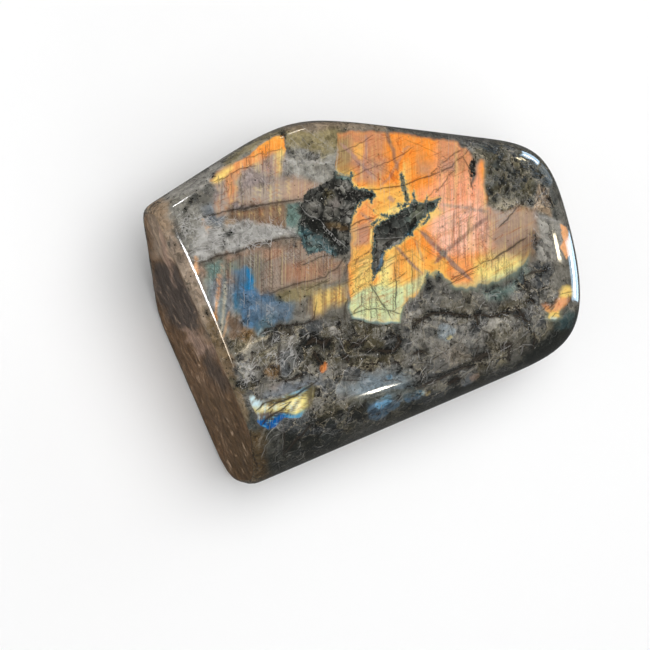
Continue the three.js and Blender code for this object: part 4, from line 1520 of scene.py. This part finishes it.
# %% The sawn end
sawn = smooth_step(-facing[:, 0], 0.9, 0.97)
sawn_coat = coat("fibre brown")
lay(sawn_coat, (
    ("beige top", "fibre beige", 6, 4, "144,200 176,200 186,252 172,262 150,256", 0.9),
    ("slate", "fibre slate", 5, 5, "155,264 172,264 185,282 198,311 200,328 192,333 179,330 171,325 "
     "161,305 152,284", 0.8),
    ("beige by the ridge", "fibre beige", 4, 3, "176,244 186,254 212,316 211,343 202,338 199,312 "
     "185,279", 0.85),
    ("pink spike", "fibre pink", 2, 2, "158,222 164,236 170,262 173,288 167,276 161,250", 0.9),
    ("pink end of the slate", "fibre pink", 3, 5, "180,330 196,332 212,346 214,356 204,352 198,360 "
     "190,350", 0.95),
    ("slate wedge", "fibre slate", 4, 4, "200,354 208,352 220,370 228,392 216,386 206,372", 0.6),
    ("pink fibres", "pink brown", 6, 5, "190,366 216,384 236,430 246,470 230,460 206,410", 0.3),
    ("warm low end", "bevel olive", 12, 6, "196,380 236,400 262,478 244,488 214,440", 0.5),
    ("olive end", "bevel olive", 6, 4, "228,430 250,440 262,478 244,488 230,470", 0.6),
))
ground += (sawn_coat - ground) * sawn[:, None]
flash_gap += AWAY * sawn
island_gap += AWAY * sawn
pit_gap += AWAY * np.maximum(sawn, hidden)
for tones in (crack_tones, hair_tones, layered, grain):
    tones *= 1 - sawn
print("points of the sawn end:", int((sawn > 0.5).sum()))

# %% [markdown]
# ### Relief
# The polish is smooth, but it couldn't reach the bottom of the black pits, and the sawn end was left
# as the saw tore it. Both are sunk into the mesh itself, only inwards, so the stone keeps its size.

# %% Sink the sawn end and the pits
TORN_DEPTH = 0.9
PIT_DEPTH = 0.04
torn = noise(spots * (1, 0.55, 1), 3.2, 61, 4)
torn_edge = smooth_step(-facing[:, 0], 0.9, 0.99)
sunk = TORN_DEPTH * torn_edge * smooth_step(torn, 0.75, -0.75)
sunk += PIT_DEPTH * smooth_step(-pit_gap, -1.0, 2.0)
sunk_spots = np.clip(spots - facing * sunk[:, None], 1000 * np.array(cad_box[0]),
                     1000 * np.array(cad_box[1]))
stone_mesh.vertices.foreach_set("co", (sunk_spots / 1000).ravel())
print("deepest point of the relief:", round(float(sunk.max()), 2), "mm")


# %% Keep the coats on the mesh
def linear(shade):
    level = np.array(shade) / 255
    return np.where(level < 0.04045, level / 12.92, ((level + 0.055) / 1.055) ** 2.4)


def keep_colour(name, colours):
    layer = stone_mesh.color_attributes.new(name, "FLOAT_COLOR", "POINT")
    full = np.ones((len(colours), 4))
    full[:, :3] = linear(np.clip(colours, 0, 1) * 255)
    layer.data.foreach_set("color", full.ravel())


def keep_number(name, numbers):
    layer = stone_mesh.attributes.new(name, "FLOAT", "POINT")
    layer.data.foreach_set("value", numbers.astype(np.float32))


for name, colours in (("ground", ground), ("flash", flash), ("island", island)):
    keep_colour(name, colours)
for name, numbers in (
    ("flash_gap", flash_gap),
    ("island_gap", island_gap),
    ("flash_soft", flash_soft),
    ("rimmed", rimmed),
    ("pit_gap", pit_gap),
    ("crack_lines", crack_lines),
    ("crack_tones", crack_tones),
    ("hair_lines", hair_lines),
    ("hair_tones", hair_tones),
    ("layered", layered),
    ("grain", grain),
    ("sawn", sawn),
):
    keep_number(name, numbers)
print("kept on the mesh:", ", ".join(layer.name for layer in stone_mesh.color_attributes))

# %% [markdown]
# ## The polished stone
# A polished stone has one smooth surface over a body whose colour changes at every scale. The coats
# give everything down to about half a millimetre. The shader adds what is finer: it cuts the coats'
# edges sharp and ragged, and adds crystals, specks and the hair-thin layers inside the flash.

# %% Node helpers
material = bpy.data.materials.new("polished_labradorite")
material.use_nodes = True
tree = material.node_tree
shader = tree.nodes["Principled BSDF"]


def add(kind, **settings):
    node = tree.nodes.new("ShaderNode" + kind)
    for name, value in settings.items():
        setattr(node, name, value)
    return node


def plug(value, socket):
    if isinstance(value, bpy.types.NodeSocket):
        tree.links.new(value, socket)
    else:
        socket.default_value = value


def result_of(node, *values):
    for value, socket in zip(values, node.inputs):
        plug(value, socket)
    return node.outputs[0]


print("the shader is a", shader.name)


# %% Sums in nodes
def times(one, other):
    return result_of(add("Math", operation="MULTIPLY"), one, other)


def plus(one, other):
    return result_of(add("Math", operation="ADD"), one, other)


def at_least(least, value):
    return result_of(add("Math", operation="MAXIMUM"), value, least)


def size_of(value):
    return result_of(add("Math", operation="ABSOLUTE"), value)


def total(value, *others):
    for other in others:
        value = plus(value, other)
    return value


def around(value, width, middle=0.5):
    """A value moved from its middle to 0, and widened."""
    return times(plus(value, -middle), width)


def rise_between(value, low, high, low_share=0.0, high_share=1.0):
    """A share that goes from one value to another as the given value goes from low to high."""
    node = add("MapRange", interpolation_type="SMOOTHSTEP")
    return result_of(node, value, low, high, low_share, high_share)


def fall_between(value, low, high):
    return rise_between(value, low, high, 1.0, 0.0)


# %% Coats and shades in nodes
def coat_of(name):
    return add("Attribute", attribute_name=name).outputs["Color"]


def number_of(name):
    return add("Attribute", attribute_name=name).outputs["Fac"]


def shade_of(name):
    return (*linear(SHADES[name]), 1.0)


def scaled(colour, factor):
    node = add("VectorMath", operation="SCALE")
    plug(colour, node.inputs[0])
    plug(factor, node.inputs["Scale"])
    return node.outputs[0]


def blend(share, below, above, way="MIX"):
    node = add("Mix", data_type="RGBA", blend_type=way)
    plug(share, node.inputs["Factor"])
    plug(below, node.inputs[6])
    plug(above, node.inputs[7])
    return node.outputs[2]


def tint(colour, *tints):
    """Blends tints over a colour, in order: each has a share, a strength, a shade and a way."""
    for share, strength, shade, *way in tints:
        colour = blend(times(share, strength), colour, shade_of(shade), *way)
    return colour


def report(made):
    print(made, "made,", len(tree.nodes), "nodes so far")


# %% Noise in millimetres
def lumps(vector, scale, detail=2.0, roughness=0.5, distortion=0.0, **settings):
    node = add("TexNoise", **settings)
    plug(vector, node.inputs["Vector"])
    node.inputs["Scale"].default_value = scale
    node.inputs["Detail"].default_value = detail
    node.inputs["Roughness"].default_value = roughness
    node.inputs["Distortion"].default_value = distortion
    return node.outputs[0]


to_mm = add("VectorMath", operation="SCALE")
to_mm.inputs["Scale"].default_value = 1000.0
plug(add("TexCoord").outputs["Object"], to_mm.inputs[0])
mm = to_mm.outputs[0]
fine = lumps(mm, 3.2, 4.0, 0.62)
medium = lumps(mm, 0.9, 5.0, 0.66, 0.6)
smoke = lumps(mm, 0.17, 8.0, 0.62, 1.1)
drift = lumps(mm, 0.07, 3.0, 0.5, 0.5)
grit = lumps(mm, 1.5, 5.0, 0.75, 0.5)
report("noise")

# %% Crystals
PUSH = 2.6  # millimetres, by which the noise bends the crystals' edges
push = add("TexNoise")
plug(mm, push.inputs["Vector"])
push.inputs["Scale"].default_value = 0.4
push.inputs["Detail"].default_value = 3.0
pushed = add("VectorMath", operation="MULTIPLY_ADD")
plug(push.outputs["Color"], pushed.inputs[0])
pushed.inputs[1].default_value = (PUSH, PUSH, PUSH)
plug(mm, pushed.inputs[2])


def crystals(scale):
    """Crystals of about 1 / scale mm: a tone that slopes across each, a drawn one, and edge gaps."""
    body = add("TexVoronoi", feature="F1")
    border = add("TexVoronoi", feature="DISTANCE_TO_EDGE")
    for node in (body, border):
        plug(pushed.outputs[0], node.inputs["Vector"])
        node.inputs["Scale"].default_value = scale
    from_heart = add("VectorMath", operation="SUBTRACT")
    plug(pushed.outputs[0], from_heart.inputs[0])
    plug(body.outputs["Position"], from_heart.inputs[1])
    lean = add("VectorMath", operation="SUBTRACT")
    plug(body.outputs["Color"], lean.inputs[0])
    lean.inputs[1].default_value = (0.5, 0.5, 0.5)
    slope = add("VectorMath", operation="DOT_PRODUCT")
    plug(from_heart.outputs[0], slope.inputs[0])
    plug(lean.outputs[0], slope.inputs[1])
    own = result_of(add("SeparateColor"), body.outputs["Color"])
    return times(slope.outputs["Value"], 2 * scale), own, border.outputs["Distance"]


def rim(gap, low, high):
    """A thin line that runs between these gaps from the crystals' edges."""
    middle = (low + high) / 2
    return times(rise_between(gap, low, middle), fall_between(gap, middle, high))


large_slope, large_own, large_gap = crystals(0.24)
small_slope, small_own, small_gap = crystals(0.8)
heap_slope, heap_own, heap_gap = crystals(0.46)
report("crystals")

# %% The ground's smoke and grains
# Clear feldspar is even and grainy parts are strongly mottled, so `grain` sets how much shows
grainy = number_of("grain")
mottling = plus(0.26, times(grainy, 0.74))
tone = total(
    around(smoke, 3.0),
    times(large_slope, 1.2),
    small_slope,
    around(large_own, 0.5),
    around(small_own, 0.4),
    around(medium, 1.2),
    around(fine, 1.6),
)
ground_colour = scaled(coat_of("ground"), at_least(0.14, plus(1.0, times(tone, mottling))))
grain_drift = plus(drift, times(large_own, 0.25))
grain_smoke = plus(smoke, times(medium, 0.35))
large_rim = times(rim(large_gap, 0.008, 0.055), rise_between(medium, 0.46, 0.54))
small_rim = times(rim(small_gap, 0.02, 0.13), rise_between(smoke, 0.49, 0.55))
large_seam = times(fall_between(large_gap, 0.0, 0.04), rise_between(medium, 0.5, 0.44))
ground_colour = tint(
    ground_colour,
    (times(rise_between(grain_drift, 0.62, 0.72), grainy), 0.34, "olive"),
    (times(rise_between(grain_drift, 0.56, 0.48), grainy), 0.2, "blue grey"),
    (times(rise_between(grain_smoke, 0.61, 0.5), grainy), 0.5, "near black"),
    (times(rise_between(grain_smoke, 0.74, 0.9), grainy), 0.3, "light grey"),
    (times(large_rim, grainy), 0.7, "cream"),
    (times(small_rim, grainy), 0.35, "pale grey"),
    (times(large_seam, grainy), 0.95, "crack"),
)
report("grains")


# %% Fissures, feathers, specks and painted glints
def vein(scale, width, detail, seed, distortion):
    """Thin winding lines: where a noise passes through its middle."""
    winding = lumps(mm, scale, detail, 0.5, distortion, noise_dimensions="4D")
    winding.node.inputs["W"].default_value = seed
    return fall_between(size_of(plus(winding, -0.5)), 0.0, width)


def specks(scale, size, share):
    """Ragged dots: `size` is their radius in cells, `share` how many of the cells have one."""
    node = add("TexVoronoi", feature="F1")
    plug(mm, node.inputs["Vector"])
    node.inputs["Scale"].default_value = scale
    own = result_of(add("SeparateColor"), node.outputs["Color"])
    gap = plus(node.outputs["Distance"], around(fine, 0.8 * size))
    return times(fall_between(gap, 0.8 * size, 1.2 * size), rise_between(own, 1 - share, 1.01 - share))


fissure = times(vein(0.10, 0.010, 6.0, 3.0, 1.0), rise_between(drift, 0.40, 0.52))
split = times(vein(0.3, 0.016, 5.0, 5.0, 0.8), rise_between(medium, 0.42, 0.58))
wisp = times(vein(0.42, 0.018, 2.0, 7.0, 0.5), rise_between(smoke, 0.46, 0.56))
wisp = times(wisp, mottling)
feather = times(vein(1.1, 0.04, 1.0, 9.0, 0.4), rise_between(medium, 0.48, 0.6))
feather = times(feather, mottling)
pepper = specks(0.55, 0.12, 0.6)
blot = times(specks(0.3, 0.16, 0.3), rise_between(grainy, 0.2, 0.7))
# White specks over the grains, and light grey ones in the islands, are painted glints
glint_specks = specks(0.75, 0.11, 0.3)
ground_colour = tint(
    ground_colour,
    (feather, 0.3, "light grey"),
    (wisp, 0.4, "pale grey"),
    (times(split, grainy), 0.75, "black"),
    (times(fissure, mottling), 0.85, "black"),
    (pepper, 0.85, "black"),
    (blot, 0.85, "black"),
    (times(glint_specks, grainy), 0.9, "white"),
)
report("specks")

# %% [markdown]
# ### Fine layers
# In the flash the layers show as fine straight lines that all run one way, where a few of them are
# broken or thicker. Noise drawn out to 15 mm by 0.3 mm has the same straight, uneven look.

# %% Layers inside the flash
LAYER_WAY = 64.5  # degrees in plan, the way that the layers' edges run
CROSS_WAY = 2.0  # degrees in plan, the way of the lines that cross them


def stretched(vector, turn_degrees, size):
    """Turns a direction in the plan onto X, and then measures in these sizes along each axis."""
    node = add("Mapping", vector_type="TEXTURE")
    plug(vector, node.inputs["Vector"])
    node.inputs["Rotation"].default_value[2] = radians(turn_degrees)
    node.inputs["Scale"].default_value = size
    return node.outputs[0]


layer_noise = lumps(stretched(mm, LAYER_WAY, (15.0, 0.30, 1.2)), 1.0, 4.0, 0.62)
crossing = lumps(stretched(mm, CROSS_WAY, (13.0, 0.5, 1.2)), 1.0, 3.0, 0.6)
flash_colour = tint(
    scaled(coat_of("flash"), plus(1.06, around(medium, 0.8))),
    (rise_between(layer_noise, 0.46, 0.36), 0.2, "lemon"),
    (rise_between(crossing, 0.6, 0.67), 0.4, "rust", "MULTIPLY"),
    (fissure, 0.5, "rust", "MULTIPLY"),
    (wisp, 0.2, "mauve"),
    (pepper, 0.6, "deep brown"),
)
report("layers")

# %% Where the flash and the islands end
EDGE = 0.5  # pixels, half the width of an island's edge
ragged = plus(around(fine, 3.0), around(medium, 5.0))
flash_edge = plus(number_of("flash_gap"), times(ragged, 0.45))
island_edge = plus(number_of("island_gap"), around(grit, 11.0))
rimmed = number_of("rimmed")
flash_colour = tint(
    flash_colour,
    (times(rise_between(flash_edge, -6.0, -2.5), rimmed), 0.25, "yellow"),
    (times(rise_between(flash_edge, -2.6, -0.6), rimmed), 0.8, "teal"),
    (times(rise_between(island_edge, 2.2, 0.6), rimmed), 0.5, "yellow"),
)
soft = number_of("flash_soft")
flash_share = fall_between(flash_edge, times(soft, -1.0), soft)
island_share = fall_between(island_edge, -EDGE, EDGE)
report("edges")

# %% [markdown]
# ### Islands, pits and lines
# The island's edge is where its map passes 0, and noise added to that map makes the edge ragged
# at any size. Pits, cracks and hairlines are cut from their own maps in the same way.

# %% Islands
# Inside, an island is a heap of small crystals: some grey, some black, with pale broken rims
island_tone = total(
    around(heap_own, 0.6, 0.45), times(heap_slope, 1.5), around(medium, 0.9), around(fine, 1.2), 1.0
)
pale_rim = times(rim(heap_gap, 0.04, 0.16), rise_between(medium, 0.5, 0.6))
dark_rim = times(fall_between(heap_gap, 0.0, 0.09), rise_between(smoke, 0.42, 0.5))
island_colour = tint(
    scaled(coat_of("island"), at_least(0.15, island_tone)),
    (pale_rim, 0.6, "light grey"),
    (dark_rim, 0.7, "black"),
    (feather, 0.7, "ground grey"),
    (glint_specks, 0.8, "light grey"),
    (times(rise_between(island_edge, -2.6, -0.6), rimmed), 0.6, "teal"),
)
report("islands")

# %% Lay the coats over each other
layer_dark = times(number_of("layered"), rise_between(layer_noise, 0.54, 0.63))
colour = blend(flash_share, ground_colour, flash_colour)
colour = tint(colour, (layer_dark, 0.42, "rust", "MULTIPLY"))
colour = blend(island_share, colour, island_colour)
pit_gap_here = number_of("pit_gap")
pit_share = fall_between(plus(pit_gap_here, around(grit, 30.0)), -2.0, -0.6)
colour = tint(
    colour,
    (fall_between(pit_gap_here, -2.0, 4.0), 0.62, "green black"),
    (pit_share, 0.95, "black"),
    # White specks in and just around the pits are painted glints
    (times(specks(1.3, 0.17, 0.14), fall_between(pit_gap_here, 0.0, 2.0)), 0.95, "white"),
)
report("pits")

# %% Cracks and hairlines
LINE_HEART, LINE_END = 0.2, 0.85  # in widths of a line, where it starts to fade and where it ends
crack_away = plus(size_of(number_of("crack_lines")), around(fine, 1.0))
crack_tone = number_of("crack_tones")
crack_share = times(fall_between(crack_away, LINE_HEART, LINE_END), crack_tone)
hair_away = plus(size_of(number_of("hair_lines")), around(fine, 1.0))
hair_share = times(fall_between(hair_away, LINE_HEART, LINE_END), number_of("hair_tones"))
hair_share = times(hair_share, rise_between(medium, 0.36, 0.48, 0.3, 1.0))
colour = tint(
    colour,
    (times(fall_between(crack_away, 0.9, 2.2), crack_tone), 0.22, "brown", "MULTIPLY"),
    (crack_share, 0.85, "crack"),
    (hair_share, 0.75, "pale grey"),
)
report("lines")

# %% [markdown]
# ### Saw marks and gloss
# The polish is a mirror under a clear coat. The sawn end is matt, so the gloss follows a share of
# each kind of place, and a fine bump sinks the lines and raises the fibres.

# %% The sawn end's saw marks
# The saw ran along the end, and its marks are long fibres with torn, paler edges; where the bump raises
# the fibres they are painted paler, and deep brown where it sinks them: partly their own tones, partly
# painted light and shade
sawn_share = number_of("sawn")
saw_fibres = lumps(stretched(mm, 0.0, (3.0, 3.6, 1.4)), 1.0, 5.0, 0.68, 0.8)
saw_bands = lumps(stretched(mm, 0.0, (6.0, 16.0, 6.0)), 1.0, 5.0, 0.62, 0.8)
saw_tone = total(around(saw_fibres, 3.2), around(saw_bands, 1.2), 1.0)
sawn_colour = tint(
    scaled(coat_of("ground"), at_least(0.25, saw_tone)),
    (times(rise_between(saw_fibres, 0.57, 0.66), rise_between(saw_bands, 0.42, 0.54)), 0.75,
     "fibre light"),
    (rise_between(saw_fibres, 0.42, 0.33), 0.6, "deep brown"),
)
plug(blend(sawn_share, colour, sawn_colour), shader.inputs["Base Color"])
report("saw marks")

# %% Gloss
POLISH = 0.07
SAWN_ROUGHNESS = 0.48
PIT_ROUGHNESS = 0.3
COAT = 0.35
dull = at_least(times(crack_share, 0.8), times(pit_share, 0.5))
roughness = total(
    POLISH, times(dull, PIT_ROUGHNESS), times(sawn_share, SAWN_ROUGHNESS - POLISH)
)
plug(roughness, shader.inputs["Roughness"])
plug(plus(COAT, times(sawn_share, -COAT)), shader.inputs["Coat Weight"])
shader.inputs["Coat Roughness"].default_value = 0.03
shader.inputs["IOR"].default_value = 1.56
report("gloss")

# %% Fine relief
RELIEF = 0.00012  # metres
sunk_lines = plus(times(crack_share, -0.7), times(pit_share, -0.2))
saw_relief = plus(times(saw_fibres, 9.0), times(fine, 1.5))
bump = add("Bump")
bump.inputs["Strength"].default_value = 0.6
bump.inputs["Distance"].default_value = RELIEF
plug(plus(sunk_lines, times(sawn_share, saw_relief)), bump.inputs["Height"])
plug(bump.outputs[0], shader.inputs["Normal"])
report("relief")

# %% The stone
stone_mesh.materials.append(material)
stone_mesh.shade_smooth()
stone = bpy.data.objects.new("labradorite_stone", stone_mesh)
bpy.context.scene.collection.objects.link(stone)
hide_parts("stone")
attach(stone, "root")
print(stone.name, "stands for the frame's stone")

# %% [markdown]
# ## Floor and light
# A plain pale floor, and the soft light of a studio. Big softboxes light the colours of the stone
# from places that its polish doesn't mirror into the camera, and narrow ones make the few bright
# lines along the rolled edges that show how smooth the polish is.

# %% Floor
floor_shape = bmesh.new()
bmesh.ops.create_grid(floor_shape, x_segments=1, y_segments=1, size=4)
floor_mesh = bpy.data.meshes.new("floor")
floor_shape.to_mesh(floor_mesh)
floor_shape.free()
floor = bpy.data.objects.new("floor", floor_mesh)
bpy.context.scene.collection.objects.link(floor)
floor_paint = bpy.data.materials.new("pale_floor")
floor_paint.use_nodes = True
FLOOR_TONE = 0.92
floor_surface = floor_paint.node_tree.nodes["Principled BSDF"]
floor_surface.inputs["Base Color"].default_value = (FLOOR_TONE, FLOOR_TONE, FLOOR_TONE, 1)
floor_surface.inputs["Roughness"].default_value = 1.0
floor_mesh.materials.append(floor_paint)
floor.visible_glossy = False  # the polish mirrors the dark room, not the floor
print("floor with a tone of", FLOOR_TONE)

# %% Lamps
AIM = Vector((0.0, 0.0, 0.03))
NEUTRAL = (1.0, 1.0, 1.0)
only_stone = bpy.data.collections.new("only_the_stone")
only_stone.objects.link(stone)
only_floor = bpy.data.collections.new("only_the_floor")
only_floor.objects.link(floor)


def softbox(name, place, size, power, colour=NEUTRAL, mirrored=True, lights=None):
    """A rectangular lamp at a place, in metres, that looks at the stone."""
    lamp = bpy.data.lights.new(name, "AREA")
    lamp.shape = "RECTANGLE"
    lamp.size, lamp.size_y = size
    lamp.energy = power
    lamp.color = colour
    box = bpy.data.objects.new(name, lamp)
    box.location = place
    box.rotation_euler = (box.location - AIM).to_track_quat("Z", "Y").to_euler()
    box.visible_glossy = mirrored
    box.light_linking.receiver_collection = lights
    bpy.context.scene.collection.objects.link(box)
    print(name, "of", power, "W")

# %% Soft light
softbox("floor_light", (0.0, 0.0, 3.0), (5.0, 5.0), 61, mirrored=False, lights=only_floor)
softbox("overhead", (0.12, 0.2, 0.95), (0.8, 0.8), 6.0, mirrored=False)
softbox("left_fill", (-0.85, 0.25, 0.45), (0.7, 0.7), 1.5, mirrored=False)
softbox("front_fill", (0.1, -0.9, 0.5), (0.7, 0.7), 1.4, mirrored=False)
softbox("right_fill", (0.85, 0.35, 0.45), (0.7, 0.7), 1.4, mirrored=False)

# %% Lamps that the polish mirrors
# They light nothing else, so they leave no bright spots on the floor
WARM = (1.0, 0.93, 0.78)
BLUE = (0.55, 0.78, 1.0)
PEACH = (1.0, 0.85, 0.68)
GOLDEN = (1.0, 0.86, 0.58)


def glint(name, place, size, power, colour=NEUTRAL):
    softbox(name, place, size, power, colour, lights=only_stone)


glint("ridge_line", (-0.465, 0.010, 0.477), (0.072, 0.14), 0.81)
glint("ridge_line_end", (-0.465, -0.046, 0.477), (0.04, 0.08), 0.13, PEACH)
glint("low_streak", (0.190, -0.670, 0.215), (0.022, 0.085), 0.17, WARM)
glint("right_streak", (0.660, -0.170, 0.325), (0.042, 0.06), 0.2, GOLDEN)
glint("dot_streak", (0.710, 0.195, 0.137), (0.045, 0.05), 0.14, GOLDEN)
glint("top_left_streak", (0.000, 0.530, 0.370), (0.055, 0.06), 0.32)
glint("top_streak", (0.270, 0.550, 0.190), (0.10, 0.04), 0.3, WARM)
glint("right_edge", (0.620, -0.215, -0.100), (0.134, 0.40), 0.75, BLUE)
glint("right_edge_heart", (0.620, -0.215, -0.040), (0.11, 0.08), 0.4)
glint("right_edge_faint", (0.620, 0.010, -0.100), (0.10, 0.30), 0.06, BLUE)
glint("right_corner", (0.610, 0.145, -0.110), (0.13, 0.26), 0.46, BLUE)
glint("right_corner_heart", (0.610, 0.145, -0.070), (0.11, 0.05), 0.17)

# %% The room around it
ROOM_TONE = 0.08
world = bpy.data.worlds.new("studio")
bpy.context.scene.world = world
world.use_nodes = True
room = world.node_tree.nodes["Background"]
room.inputs[0].default_value = (ROOM_TONE, ROOM_TONE, ROOM_TONE, 1)
bpy.context.scene.view_settings.view_transform = "Standard"
print("room with a tone of", ROOM_TONE)
